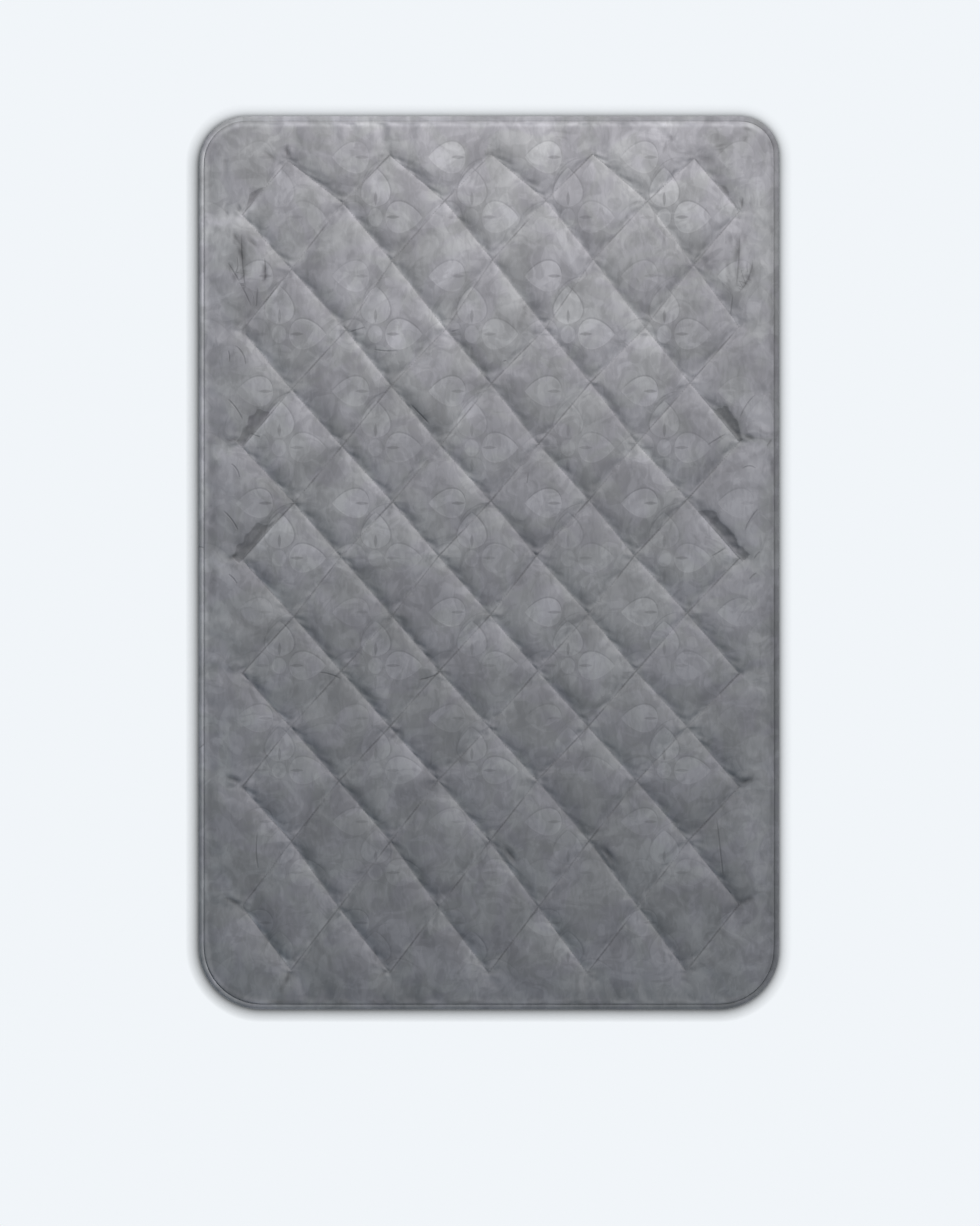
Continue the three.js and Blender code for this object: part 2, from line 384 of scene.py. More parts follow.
def settle_cloth(thing, pinned):
    """Runs the cloth and returns where it takes each point."""
    group = thing.vertex_groups.new(name="sewn")
    group.add(np.flatnonzero(pinned).tolist(), 1.0, "REPLACE")
    cloth = thing.modifiers.new("cloth", "CLOTH")
    cloth.settings.vertex_group_mass = group.name
    for name, value in CLOTH_SETTINGS.items():
        setattr(cloth.settings, name, value)
    cloth.settings.effector_weights.gravity = 0
    cloth.collision_settings.use_collision = False
    cloth.point_cache.frame_start = 1
    cloth.point_cache.frame_end = SIM_FRAMES
    for number in range(1, SIM_FRAMES + 1):
        bpy.context.scene.frame_set(number)
    settled = coordinates(evaluated_mesh(thing))
    thing.modifiers.clear()
    thing.vertex_groups.clear()
    bpy.context.scene.frame_set(1)
    return settled


move = settle_cloth(quilt, SEWN) - POINTS
distance = np.linalg.norm(move, axis=1, keepdims=True)
move *= np.minimum(1, MOVE_CAP / np.maximum(distance, 1e-9))
move_points(quilt.data, POINTS + move)
print("cloth moved", round(float(distance.mean()) / MM, 2), "mm on average, at most",
      round(float(distance.max()) / MM, 2), "mm before the cap")

# %% [markdown]
# ## A finer sheet with creased seams
# One subdivision rounds the cloth. The seam edges are marked as creases first, so that they stay on the
# lattice as narrow valleys instead of being smoothed away.

# %% Subdivide once
ON_SEAM = 10 * WELD


def seam_lines():
    """Each seam of the lattice once, as a pair of crossings."""
    lines = {}
    for corners in POCKETS:
        for k in range(4):
            ends = sorted([tuple(corners[k]), tuple(corners[(k + 1) % 4])])
            lines[tuple(np.round(np.ravel(ends), 5))] = np.array(ends)
    return list(lines.values())


def nearest_seam(plan):
    """Distance from the nearest seam, with a plus on its head side; how far along it the nearest crossing is;
    and whether the seam falls to the right."""
    nearest = np.full(len(plan), np.inf)
    aside = np.zeros(len(plan))
    to_crossing = np.zeros(len(plan))
    falls = np.zeros(len(plan), bool)
    for start, end in SEAMS:
        along = end - start
        length = np.linalg.norm(along)
        share = np.clip((plan - start) @ along / length**2, 0, 1)
        apart = plan - start - share[:, None] * along
        gap = np.linalg.norm(apart, axis=1)
        closer = gap < nearest
        nearest[closer] = gap[closer]
        aside[closer] = (gap * np.sign(apart @ np.array([-along[1], along[0]])))[closer]
        to_crossing[closer] = (length * np.minimum(share, 1 - share))[closer]
        falls[closer] = along[1] < 0
    return aside, to_crossing, falls


def distance_to_seams(plan):
    """How far each point of the plan is from the nearest seam of the lattice."""
    return np.abs(nearest_seam(plan)[0])


def mark_seams(mesh, plan):
    """Creases the edges whose two ends and middle lie on a seam."""
    ends = np.empty(len(mesh.edges) * 2, int)
    mesh.edges.foreach_get("vertices", ends)
    ends = ends.reshape(-1, 2)
    on_seam = distance_to_seams(plan) < ON_SEAM
    middle = distance_to_seams((plan[ends[:, 0]] + plan[ends[:, 1]]) / 2) < ON_SEAM
    sharp = on_seam[ends].all(axis=1) & middle
    mesh.attributes.new("crease_edge", "FLOAT", "EDGE").data.foreach_set("value", sharp.astype(float))
    return int(sharp.sum())


SEAMS = seam_lines()
print(len(SEAMS), "seams,", mark_seams(quilt.data, POINTS[:, :2]), "seam edges")
fine = quilt.modifiers.new("fine", "SUBSURF")
fine.levels = 1
fine.render_levels = 1
bake_modifiers(quilt)
print("fine sheet:", len(quilt.data.polygons), "quads")

# %% [markdown]
# ## Unevenness and creases
# Real quilting is never even. Wadding shifts, so slow waves lift and lower the pockets. Thread draws the
# cloth in, so small puckers stand along each seam and gathers along the rim. Where the cloth was pushed about
# before sewing, tucks, folds and thin creases remain. The waves, puckers and gathers are sums of a few seeded
# sines. The tucks, folds and creases that show are listed, one row each.
#
# Tucks and folds move the points of the mesh, and the material darkens both with painted shade. A crease is
# thinner than the mesh, so only the distance to it is stored on the points, and the material paints the line
# as shade.

# %% Small helpers for places on the face
def smooth_step(value, low, high):
    """Rises softly from 0 at the low value to 1 at the high one."""
    share = np.clip((value - low) / (high - low), 0, 1)
    return share * share * (3 - 2 * share)


def bump_at(value, middle, width):
    """A soft bump of height 1 round a middle value."""
    return np.exp(-(((value - middle) / width) ** 2))


def beside(plan, start, end):
    """Where each point lies along a line, as a share of it, and how far to its left, in millimetres."""
    along = end - start
    length = np.linalg.norm(along)
    along = along / length
    return (plan - start) @ along / length, (plan - start) @ np.array([-along[1], along[0]]) / MM


def beside_row(plan, row):
    """For a bowed line from a table: 1 in its middle and 0 from its ends on, and how far to its left."""
    place, left = beside(plan, np.array(row["start"]) * MM, np.array(row["end"]) * MM)
    fade = np.clip(4 * place * (1 - place), 0, 1)
    return fade, left - row["bow"] * fade


def waves(plan, length, seed, count=11):
    """A smooth uneven field of about one in height, as a sum of seeded sines."""
    dice = np.random.default_rng(seed)
    total = np.zeros(len(plan))
    for _ in range(count):
        turn = dice.uniform(0, 2 * np.pi)
        reach = length * dice.uniform(0.7, 1.5)
        phase = dice.uniform(0, 2 * np.pi)
        total += np.sin(2 * np.pi * (plan @ [np.cos(turn), np.sin(turn)]) / reach + phase)
    return total / np.sqrt(count / 2)


def patchy(plan, length, seed, middle, swing, low, high):
    """A seeded field round a middle value, kept between two limits."""
    return np.clip(middle + swing * waves(plan, length, seed), low, high)


def store(mesh, name, values):
    """Keeps one value for each point of a mesh, for its material to read."""
    mesh.attributes.new(name, "FLOAT", "POINT").data.foreach_set("value", values)


# %% Tucks: the seam, and how far out the tuck reaches at places along it
TUCKS = (
    dict(seam=((1, 0), (0, 1)), edge=((0.46, 0), (0.56, 8), (0.66, 15), (0.7, 18), (0.78, 11), (0.95, 3))),
    dict(seam=((1, 4), (0, 5)), edge=((0.4, 0), (0.48, 28), (0.61, 32), (0.7, 28), (0.88, 23), (1.0, 15))),
    dict(seam=((1, 6), (0, 7)), edge=((0.1, 2), (0.44, 8), (0.5, 30), (0.7, 31), (0.89, 27), (1.06, 26))),
    dict(seam=((9, 0), (10, 1)), edge=((0.02, 4), (0.5, 4), (0.56, 11), (0.68, 14), (0.73, 8), (0.97, 3))),
    dict(seam=((9, 4), (10, 5)), edge=((0.2, 2), (0.48, 5), (0.53, 29), (0.84, 23), (0.95, 15), (1.01, 12))),
    dict(seam=((9, 6), (10, 7)), edge=((0.2, 2), (0.31, 29), (0.44, 24), (0.7, 27), (0.84, 20), (1.06, 24))),
)
TUCK_DEPTH = 3
TUCK_SLOPE = 7
TUCK_PAINTED_HIGHLIGHT = 0.45
TUCK_HIGHLIGHT_REACH = 18
TUCK_HIGHLIGHT_OVER = 3
TUCK_RAGGED = 1.6
TUCK_RAGGED_AT = 15
NO_TUCK = -20
TUCKED_MOST = 9


def tuck_shape(plan, tuck):
    """Cloth folded under along the outside of a seam: how far inside it each point lies, in millimetres,
    and how strong a painted highlight is on the pocket beside it."""
    start, end = (crossing(*place) for place in tuck["seam"])
    place, left = beside(plan, start, end)
    outside = left * np.sign(end[0])
    reach = np.interp(place, *zip(*tuck["edge"]), left=NO_TUCK, right=NO_TUCK)
    ragged = TUCK_RAGGED * waves(plan, 32 * MM, seed=8) + waves(plan, 14 * MM, seed=9)
    ragged *= np.clip(reach / TUCK_RAGGED_AT, 0, 1)
    # A painted highlight on the pocket beside the tuck.
    lip = smooth_step(place, 0, 0.4) * (1 - smooth_step(place, 0.95, 1.05))
    lip *= np.exp(np.minimum(outside, 0) / TUCK_HIGHLIGHT_REACH) * (outside < TUCK_HIGHLIGHT_OVER)
    return np.minimum(reach - outside - ragged, outside + 1), lip


widest_tuck = max(reach for tuck in TUCKS for _, reach in tuck["edge"])
print(len(TUCKS), "tucks, the widest", widest_tuck, "mm")

# %% Folds: both ends in millimetres, half width, depth and sideways bow
FOLDS = (
    dict(start=(-457, 936), end=(-448, 907), width=4, depth=5, bow=0),
    dict(start=(-502, 923), end=(-478, 896), width=5, depth=4, bow=2),
    dict(start=(-521, 976), end=(-517, 948), width=4, depth=3, bow=0),
    dict(start=(-588, 918), end=(-587, 860), width=7, depth=2.5, bow=0),
    dict(start=(-566, 800), end=(-555, 787), width=3.5, depth=4, bow=0),
    dict(start=(-582, 793), end=(-590, 770), width=4, depth=3, bow=0),
    dict(start=(-602, 757), end=(-616, 739), width=5, depth=2.5, bow=0),
    dict(start=(-569, 740), end=(-568, 708), width=4, depth=4, bow=2),
    dict(start=(-553, 736), end=(-543, 612), width=5, depth=5, bow=-3),
    dict(start=(-538, 726), end=(-516, 703), width=4, depth=3, bow=0),
    dict(start=(-502, 676), end=(-502, 620), width=5, depth=5, bow=2),
    dict(start=(-584, 672), end=(-567, 625), width=4, depth=4.5, bow=2),
    dict(start=(463, 920), end=(508, 888), width=13, depth=3, bow=0),
    dict(start=(566, 974), end=(588, 968), width=5, depth=4, bow=0),
    dict(start=(521, 984), end=(524, 968), width=4, depth=2.5, bow=0),
    dict(start=(508, 968), end=(522, 908), width=6, depth=3, bow=0),
    dict(start=(400, 956), end=(413, 943), width=6, depth=3.5, bow=0),
    dict(start=(390, 912), end=(399, 948), width=3.5, depth=3, bow=0),
    dict(start=(572, 956), end=(574, 938), width=3.5, depth=3, bow=0),
    dict(start=(562, 818), end=(569, 791), width=4, depth=2.5, bow=0),
    dict(start=(579, 804), end=(598, 798), width=4, depth=3, bow=2),
    dict(start=(553, 739), end=(554, 626), width=5, depth=5, bow=3),
    dict(start=(571, 735), end=(573, 709), width=4, depth=2.5, bow=0),
    dict(start=(590, 672), end=(561, 612), width=4, depth=4.5, bow=9),
    dict(start=(537, 734), end=(543, 706), width=4, depth=2, bow=0),
    dict(start=(530, 690), end=(533, 590), width=4, depth=2.5, bow=4),
    dict(start=(477, 684), end=(491, 648), width=6, depth=2, bow=0),
    dict(start=(571, 283), end=(596, 274), width=4, depth=4, bow=2),
    dict(start=(-556, 277), end=(-590, 269), width=4, depth=4, bow=-2),
    dict(start=(-562, 20), end=(-588, 6), width=4, depth=4, bow=2),
    dict(start=(-617, 232), end=(-617, 180), width=9, depth=2.5, bow=0),
    dict(start=(-616, 160), end=(-617, 60), width=8, depth=2, bow=2),
    dict(start=(-616, 0), end=(-617, -82), width=9, depth=2.5, bow=0),
    dict(start=(-248, -930), end=(-221, -907), width=4, depth=3, bow=2),
    dict(start=(-226, -401), end=(-195, -370), width=4, depth=3, bow=2),
    dict(start=(81, 588), end=(79, 539), width=4, depth=3, bow=0),
    dict(start=(-472, -968), end=(-441, -910), width=5, depth=4, bow=0),
    dict(start=(-594, -748), end=(-556, -768), width=5, depth=4, bow=2),
    dict(start=(-590, -480), end=(-555, -491), width=5, depth=4, bow=2),
    dict(start=(556, -767), end=(594, -748), width=5, depth=4, bow=2),
    dict(start=(559, -494), end=(594, -485), width=5, depth=4, bow=2),
    dict(start=(34, -636), end=(62, -676), width=5, depth=4, bow=2),
    dict(start=(252, -634), end=(280, -672), width=5, depth=4, bow=2),
)
FOLD_LIP = 0.35
FOLD_LIP_AT = 2
FOLD_PAINTED_SHADE_AT = 4.5


def fold_shape(plan, fold):
    """Depth of one fold in millimetres: a trough that fades at its ends, with a lip on both sides."""
    fade, aside = beside_row(plan, fold)
    across = aside / fold["width"]
    trough = bump_at(across, 0, 1)
    lip = bump_at(across, FOLD_LIP_AT, 1) + bump_at(across, -FOLD_LIP_AT, 1)
    return fade * fold["depth"] * trough, fade * fold["depth"] * FOLD_LIP * lip


print(len(FOLDS), "folds, the deepest", max(fold["depth"] for fold in FOLDS), "mm")

# %% Thin creases: both ends in millimetres and sideways bow
QUILT_CREASES = (
    dict(start=(-553, 736), end=(-543, 606), bow=-3),
    dict(start=(-586, 674), end=(-530, 570), bow=3),
    dict(start=(-502, 684), end=(-502, 626), bow=2),
    dict(start=(-517, 614), end=(-521, 568), bow=0),
    dict(start=(568, 820), end=(565, 790), bow=0),
    dict(start=(559, 740), end=(551, 612), bow=3),
    dict(start=(590, 678), end=(556, 600), bow=8),
    dict(start=(545, 600), end=(540, 554), bow=0),
    dict(start=(-583, 476), end=(-581, 445), bow=2),
    dict(start=(-569, 486), end=(-544, 438), bow=8),
    dict(start=(-586, 368), end=(-549, 316), bow=4),
    dict(start=(-595, 117), end=(-559, 68), bow=4),
    dict(start=(-581, 224), end=(-557, 184), bow=7),
    dict(start=(-585, -24), end=(-560, -52), bow=3),
    dict(start=(-534, 289), end=(-508, 279), bow=0),
    dict(start=(596, 376), end=(560, 321), bow=-4),
    dict(start=(603, 121), end=(571, 68), bow=-4),
    dict(start=(564, 208), end=(600, 208), bow=8),
    dict(start=(609, 26), end=(592, 7), bow=-2),
    dict(start=(600, -22), end=(581, -40), bow=-2),
    dict(start=(621, 258), end=(632, 276), bow=0),
    dict(start=(484, 259), end=(533, 289), bow=1),
    dict(start=(492, 12), end=(531, 34), bow=-1),
    dict(start=(-315, 515), end=(-271, 527), bow=0),
    dict(start=(-260, 477), end=(-200, 474), bow=-3),
    dict(start=(-86, 516), end=(-65, 521), bow=0),
    dict(start=(-177, 356), end=(-131, 308), bow=0),
    dict(start=(88, 203), end=(84, 172), bow=0),
    dict(start=(28, 449), end=(45, 453), bow=0),
    dict(start=(-383, -245), end=(-329, -262), bow=4),
    dict(start=(-159, -262), end=(-105, -242), bow=-4),
    dict(start=(-517, -598), end=(-515, -688), bow=-4),
    dict(start=(508, -567), end=(524, -708), bow=0),
)
PIPING_CREASES = (
    dict(start=(-653, -419), end=(-630, -400), bow=0),
    dict(start=(-653, 36), end=(-630, 32), bow=0),
)
CREASE_REACH = 10
CREASE_CORE = 7
CREASE_FILL = 1.6
FAR_AWAY = 99.0


def crease_lines(plan, creases):
    """Distance from the nearest crease, with a sign for its side, and how strong the crease is there."""
    nearest = np.full(len(plan), FAR_AWAY)
    strength = np.zeros(len(plan))
    for crease in creases:
        fade, aside = beside_row(plan, crease)
        closer = (np.abs(aside) < np.abs(nearest)) & (fade > 0)
        nearest[closer] = aside[closer]
        core = smooth_step(-np.abs(aside), -CREASE_REACH, -CREASE_CORE)
        strength[closer] = (np.minimum(1, CREASE_FILL * fade) * core)[closer]
    return nearest, strength


def store_creases(mesh, creases):
    """Keeps the distance from the nearest crease, and its strength."""
    nearest, strength = crease_lines(coordinates(mesh)[:, :2], creases)
    store(mesh, "crease_aside", nearest)
    store(mesh, "crease_strength", strength)


print(len(QUILT_CREASES), "creases on the quilt,", len(PIPING_CREASES), "on the piping")

# %% [markdown]
# ## Painted light on the pile
# Part of the light and dark of the velvet is painted into its colour, and it makes as much light and dark
# here
# as the shape does: lighter and darker bands on the foot side of the seams and, differently on each of the
# four sides, along the border and the piping, stand in for highlights and shade. This could be painted as a
# picture. The rules are simple, though, so each is a small function of the plan, where minus is painted light
# and plus is painted shade, and their sum is stored on the points, with the pile's random strokes.

# %% Painted light and shade along the border and the piping
LEFT_BORDER_PAINTED_LIGHT_FOOT = -0.16
LEFT_BORDER_PAINTED_LIGHT_HEAD = -0.32
CREST_INSET = 58 * MM
CREST_WIDTH = 22 * MM
ROLL_WIDTH = 4.5 * MM
FLANK_INSET = 11.5 * MM
FLANK_WIDTH = 2.5 * MM
CORNER_BLEND = 40 * MM


def edge_inset(plan):
    """How far inside the outer edge each point of the plan lies."""
    right = plan[:, 0] > 0
    head = plan[:, 1] > 0
    radius = np.where(
        head,
        np.where(right, CORNER_RADIUS[("right", "head")], CORNER_RADIUS[("head", "left")]),
        np.where(right, CORNER_RADIUS[("foot", "right")], CORNER_RADIUS[("left", "foot")]),
    )
    past = np.abs(plan) - (HALF - radius[:, None])
    round_inset = radius - np.linalg.norm(np.maximum(past, 0), axis=1)
    return np.where((past > 0).all(axis=1), round_inset, (HALF - np.abs(plan)).min(axis=1))


def by_side(plan, head, foot, left, right):
    """A value for each point from the edge nearest to it, blended round the corners."""
    across, along = (HALF - np.abs(plan)).T
    sideways = smooth_step(along - across, -CORNER_BLEND, CORNER_BLEND)
    return mix(np.where(plan[:, 1] > 0, head, foot), np.where(plan[:, 0] > 0, right, left), sideways)


def rim_painted_light(plan):
    """Painted light and shade along the border, the crest of the border and the low roll beside the piping.
    """
    inset = edge_inset(plan)
    # Painted light on the border and its crest; on the roll, painted light at the head and the left and
    # painted shade at the foot and the right, made uneven along its length.
    left_border = mix(LEFT_BORDER_PAINTED_LIGHT_FOOT, LEFT_BORDER_PAINTED_LIGHT_HEAD, smooth_step(plan[:, 1], 0.3, 0.7))
    border = by_side(plan, head=-0.08, foot=-0.05, left=left_border, right=-0.1)
    border *= 1 - smooth_step(inset, 60 * MM, 120 * MM)
    crest = by_side(plan, head=0, foot=0, left=-0.2, right=-0.05) * bump_at(inset, CREST_INSET, CREST_WIDTH)
    roll_inset = by_side(plan, head=20.5, foot=17, left=17, right=17) * MM
    painted_unevenness = by_side(plan, head=0.1, foot=0.25, left=0.1, right=0.1) * waves(plan, 70 * MM, seed=23)
    roll = by_side(plan, head=-0.85, foot=0.12, left=-0.3, right=0.3) + painted_unevenness
    return border + crest + roll * bump_at(inset, roll_inset, ROLL_WIDTH)


def piping_painted_light(plan):
    """Painted light and shade of the piping: a painted highlight on its inner side along the head and the
    left edge, and painted shade along the foot and the right.
    """
    flank = by_side(plan, head=-0.75, foot=0.15, left=-0.7, right=0.2)
    crown = by_side(plan, head=0.1, foot=0.03, left=-0.05, right=0.12)
    return flank * bump_at(edge_inset(plan), FLANK_INSET, FLANK_WIDTH) + crown


# %% Painted light along the seams, and the strokes of a hand
CROSSING_FADE = 25 * MM
SEAM_HIGHLIGHT_FALLING = 0.42
SEAM_HIGHLIGHT_CLIMBING = 0.3
SEAM_HIGHLIGHT_MORE_AT_HEAD = 1.25
SEAM_HIGHLIGHT_REACH = 9 * MM
SEAM_HIGHLIGHT_OVER = 12 * MM
LEFT_CROSSINGS = -440 * MM
LEFT_EDGE_PAINTED_LIGHT = 0.42
LEFT_EDGE_PAINTED_SHADE = 0.3
LEFT_EDGE_PAINTED_REACH = 14 * MM
STROKED_FOOT = 0.02
STROKED_HEAD = 0.11
LINE_FALLING = 0.2


def seam_painted_light(plan, seam):
    """Painted highlight along the foot side of each seam, more along the seams that fall to the right. Along
    the left edge of the field painted light lies on one side of each seam and painted shade on the other:
    climbing seams show more there, and falling ones less."""
    aside, to_crossing, falls = seam
    # The lip is a painted highlight beside the seam.
    lip = np.where(aside > 0, 1 - smooth_step(aside, 0, SEAM_HIGHLIGHT_OVER), np.exp(np.minimum(aside, 0) / SEAM_HIGHLIGHT_REACH))
    lip *= np.where(falls, SEAM_HIGHLIGHT_FALLING, SEAM_HIGHLIGHT_CLIMBING)
    lip *= mix(1, SEAM_HIGHLIGHT_MORE_AT_HEAD, smooth_step(plan[:, 1], 0.2, 0.7))
    painted_light_side = falls == (aside > 0)
    left_edge_painted = np.where(painted_light_side, -LEFT_EDGE_PAINTED_LIGHT, LEFT_EDGE_PAINTED_SHADE) * np.exp(-np.abs(aside) / LEFT_EDGE_PAINTED_REACH)
    faded = smooth_step(to_crossing, 0, CROSSING_FADE)
    faded *= patchy(plan, 120 * MM, seed=14, middle=0.85, swing=0.3, low=0.3, high=1.3)
    left_edge = plan[:, 0] < LEFT_CROSSINGS
    return faded * (left_edge * left_edge_painted - lip)


def stroked_tone(plan):
    """Pile stroked this way and that, more so towards the head end."""
    return mix(STROKED_FOOT, STROKED_HEAD, smooth_step(plan[:, 1], 0.1, 0.6)) * waves(plan, 100 * MM, seed=31)


def store_seams(mesh, plan, seam):
    """Keeps the distance from the nearest seam, and how strong the line of painted shade along it is."""
    aside, _, falls = seam
    painted_unevenness = patchy(plan, 100 * MM, seed=12, middle=0.65, swing=0.55, low=0.1, high=1.25)
    store(mesh, "seam_aside", aside / MM)
    store(mesh, "seam_strength", np.where(falls, LINE_FALLING, 1) * painted_unevenness)


# %% How clearly the embossed flowers show
RUBBED_AT = np.array([-450, 800]) * MM
RUBBED_REACH = 110 * MM
RUBBED_AWAY = 0.7
FOOT_CLEARNESS = 0.65


def emboss_strength(plan):
    """How clearly the flowers show: less in the border, to the foot and where the pile was rubbed."""
    inside = smooth_step(edge_inset(plan), 70 * MM, 140 * MM)
    clear = mix(by_side(plan, head=0.85, foot=0.35, left=0.35, right=0.35), 1, inside)
    clear *= mix(FOOT_CLEARNESS, 1, smooth_step(plan[:, 1], -0.8, 0.2))
    clear *= patchy(plan, 300 * MM, seed=21, middle=0.85, swing=0.25, low=0.5, high=1)
    rubbed = np.exp(-np.sum(((plan - RUBBED_AT) / RUBBED_REACH) ** 2, axis=1))
    return clear * (1 - RUBBED_AWAY * rubbed)


# %% [markdown]
# ## The shape of the face
# The simulation leaves rounded pockets. Real quilting has a steep little valley at the thread, so an
# exponential valley is added along each seam, rounder on its head side and shallower beside the crossings.
# Then come the waves of the wadding, the puckers, the folds and tucks, and the gathers along the rim. A soft
# limit keeps every point under the crown of the solids.

# %% Valleys, waves and gathers, in millimetres of height
VALLEY_DEPTH = 8.5
VALLEY_REACH = 20 * MM
VALLEY_ROUND = 0.85
ROUND_REACH = 8 * MM
CROSSING_EASE = 0.35
CROSSING_EASE_REACH = 50 * MM
FOOT_EASE = 0.2
WAVES_FROM = 16 * MM
SMALL_WAVES = 0.45
PUCKER_DEPTH = 1.8
PUCKER_FROM = 4 * MM
PUCKER_REACH = 13 * MM
GATHER_DEPTH = 1.3
GATHER_SWAY = 0.25
GATHER_STRETCH = 6


def seam_valley(plan, seam):
    """Height that the cloth gains away from each seam, more slowly on the seam's head side."""
    aside, to_crossing, _ = seam
    gap = np.abs(aside)
    rounding = VALLEY_ROUND * (aside > 0) * smooth_step(to_crossing, 0, CROSSING_FADE)
    rounded = gap * (1 - rounding * np.exp(-gap / ROUND_REACH))
    eased = 1 - CROSSING_EASE * (1 - smooth_step(to_crossing, 0, CROSSING_EASE_REACH))
    eased *= 1 - FOOT_EASE * (1 - smooth_step(plan[:, 1], -0.6, 0.6))
    return VALLEY_DEPTH * eased * (1 - np.exp(-rounded / VALLEY_REACH))


def wadding_waves(plan, seam):
    """Height of the slow waves of the wadding, and of the small puckers beside the seams."""
    gap = np.abs(seam[0])
    slow = waves(plan, 170 * MM, seed=3) + SMALL_WAVES * waves(plan, 60 * MM, seed=4)
    beside_seam = np.exp(-gap / PUCKER_REACH) * (1 - bump_at(gap, 0, PUCKER_FROM))
    puckers = PUCKER_DEPTH * waves(plan, 22 * MM, seed=5)
    return (1 - bump_at(gap, 0, WAVES_FROM)) * slow + beside_seam * puckers


def gathers(plan):
    """Height of the small waves in which the cloth is drawn in along the rim."""
    inset = edge_inset(plan)
    across, along = (HALF - np.abs(plan)).T
    run = np.where(along < across, plan[:, 0], plan[:, 1])
    run += GATHER_SWAY * inset * waves(plan, 300 * MM, seed=16)
    wave = waves(np.column_stack([run, inset / GATHER_STRETCH]), 45 * MM, seed=17)
    wave *= smooth_step(inset, 14 * MM, 24 * MM) * (1 - smooth_step(inset, 30 * MM, 95 * MM))
    wave *= smooth_step(np.abs(along - across), 20 * MM, 90 * MM)
    return GATHER_DEPTH * by_side(plan, head=1.5, foot=0.9, left=0.5, right=0.5) * wave


# %% Shape the face and store what its material reads
CROWN_PLAY = 2 * MM
FOLDS_FROM = 5 * MM


def level_off(height):
    """Heights above the crown drawn in softly, so that no point stands out."""
    over = np.maximum(height - POCKET_CROWN, 0)
    return np.minimum(height, POCKET_CROWN) + CROWN_PLAY * np.tanh(over / CROWN_PLAY)


def shaped_face(points, seam):
    """The fine sheet with valleys, waves, folds and tucks, the painted shade of the folds less the painted
    highlight beside the tucks, and the tucks.
    """
    plan = points[:, :2]
    lift = seam_valley(plan, seam) + wadding_waves(plan, seam)
    clear = 1 - bump_at(seam[0], 0, FOLDS_FROM)
    painted_fold_shade = np.zeros(len(plan))
    for fold in FOLDS:
        trough, lip = fold_shape(plan, fold)
        # Painted shade in each fold, strongest in its trough.
        painted_fold_shade = np.maximum(painted_fold_shade, trough / FOLD_PAINTED_SHADE_AT)
        lift += clear * (lip - trough)
    tucked, tuck_painted_highlight = np.max([tuck_shape(plan, tuck) for tuck in TUCKS], axis=0)
    lift -= clear * TUCK_DEPTH * smooth_step(tucked, 0, TUCK_SLOPE)
    inside = smooth_step(edge_inset(plan), 22 * MM, 105 * MM)
    on_face = smooth_step(points[:, 2], 3 * MM, 9 * MM)
    moved = points.copy()
    moved[:, 2] = level_off(points[:, 2] + on_face * (inside * lift + gathers(plan)) * MM)
    return moved, np.minimum(painted_fold_shade, 1) - TUCK_PAINTED_HIGHLIGHT * tuck_painted_highlight, tucked


settled = coordinates(quilt.data)
face_plan = settled[:, :2]
face_seam = nearest_seam(face_plan)
shaped, painted_light_and_pile, tucked = shaped_face(settled, face_seam)
move_points(quilt.data, shaped)
# Painted light and shade along the seams and the rim join the painted shade of the folds and the painted
# highlight beside the tucks; the strokes are the pile's own random tone.
painted_light_and_pile += seam_painted_light(face_plan, face_seam) + rim_painted_light(face_plan) + stroked_tone(face_plan)
store(quilt.data, "painted_light_and_pile", painted_light_and_pile)
store(quilt.data, "tucked", np.clip(tucked, -TUCKED_MOST, TUCKED_MOST))
store(quilt.data, "emboss", emboss_strength(face_plan))
store_creases(quilt.data, QUILT_CREASES)
store_seams(quilt.data, face_plan, face_seam)
print("face from", round(shaped[:, 2].min() / MM, 1), "to", round(shaped[:, 2].max() / MM, 1), "mm high")

# %% [markdown]
# ## The underside
# The back lies on the floor, so it is flat but for shallow grooves where the same seams come through. Its
# pockets are plain, and the strip between the zigzag and the rim is filled with triangles.

# %% Close the pad with its back
BACK_GROOVE = 3 * MM
GROOVE_SHARE = 0.13
GROOVE_OUTSIDE = 24 * MM


def zigzag_ring():
    """The zigzag pushed outwards by the groove's width."""
    nodes = np.array([node for _, node in FIELD_EDGE])
    ahead = np.roll(nodes, -1, axis=0) - nodes
    ahead /= np.linalg.norm(ahead, axis=1, keepdims=True)
    bisector = ahead + np.roll(ahead, 1, axis=0)
    bisector /= np.linalg.norm(bisector, axis=1, keepdims=True)
    return nodes + GROOVE_OUTSIDE * np.column_stack([bisector[:, 1], -bisector[:, 0]])


def add_back(thing):
    """Adds the grooved back to the sheet and turns all faces outwards."""
    body = bmesh.new()
    body.from_mesh(thing.data)
    rim = [edge for edge in body.edges if edge.is_boundary]
    made = {}

    def point(plan, height):
        """The point of the back at one place, made only once."""
        key = tuple(np.round(plan, 5)) + (height,)
        if key not in made:
            made[key] = body.verts.new((*plan, height))
        return made[key]

    for corners in POCKETS:
        middle = np.mean(corners, axis=0)
        seam = [point(corner, BACK_GROOVE) for corner in corners]
        flat = [point(mix(corner, middle, 2 * GROOVE_SHARE), 0.0) for corner in corners]
        for k in range(4):
            body.faces.new((seam[k - 1], seam[k], flat[k], flat[k - 1]))
        body.faces.new(flat)
    nodes = [point(node, BACK_GROOVE) for _, node in FIELD_EDGE]
    ring = [point(node, 0.0) for node in zigzag_ring()]
    for k in range(len(ring)):
        body.faces.new((nodes[k - 1], nodes[k], ring[k], ring[k - 1]))
    around = [body.edges.get((ring[k - 1], ring[k])) for k in range(len(ring))]
    bmesh.ops.triangle_fill(body, edges=rim + around, use_beauty=True, normal=(0, 0, -1))
    bmesh.ops.recalc_face_normals(body, faces=body.faces)
    still_open = sum(1 for edge in body.edges if edge.is_boundary)
    body.to_mesh(thing.data)
    body.free()
    thing.data.shade_smooth()
    return still_open


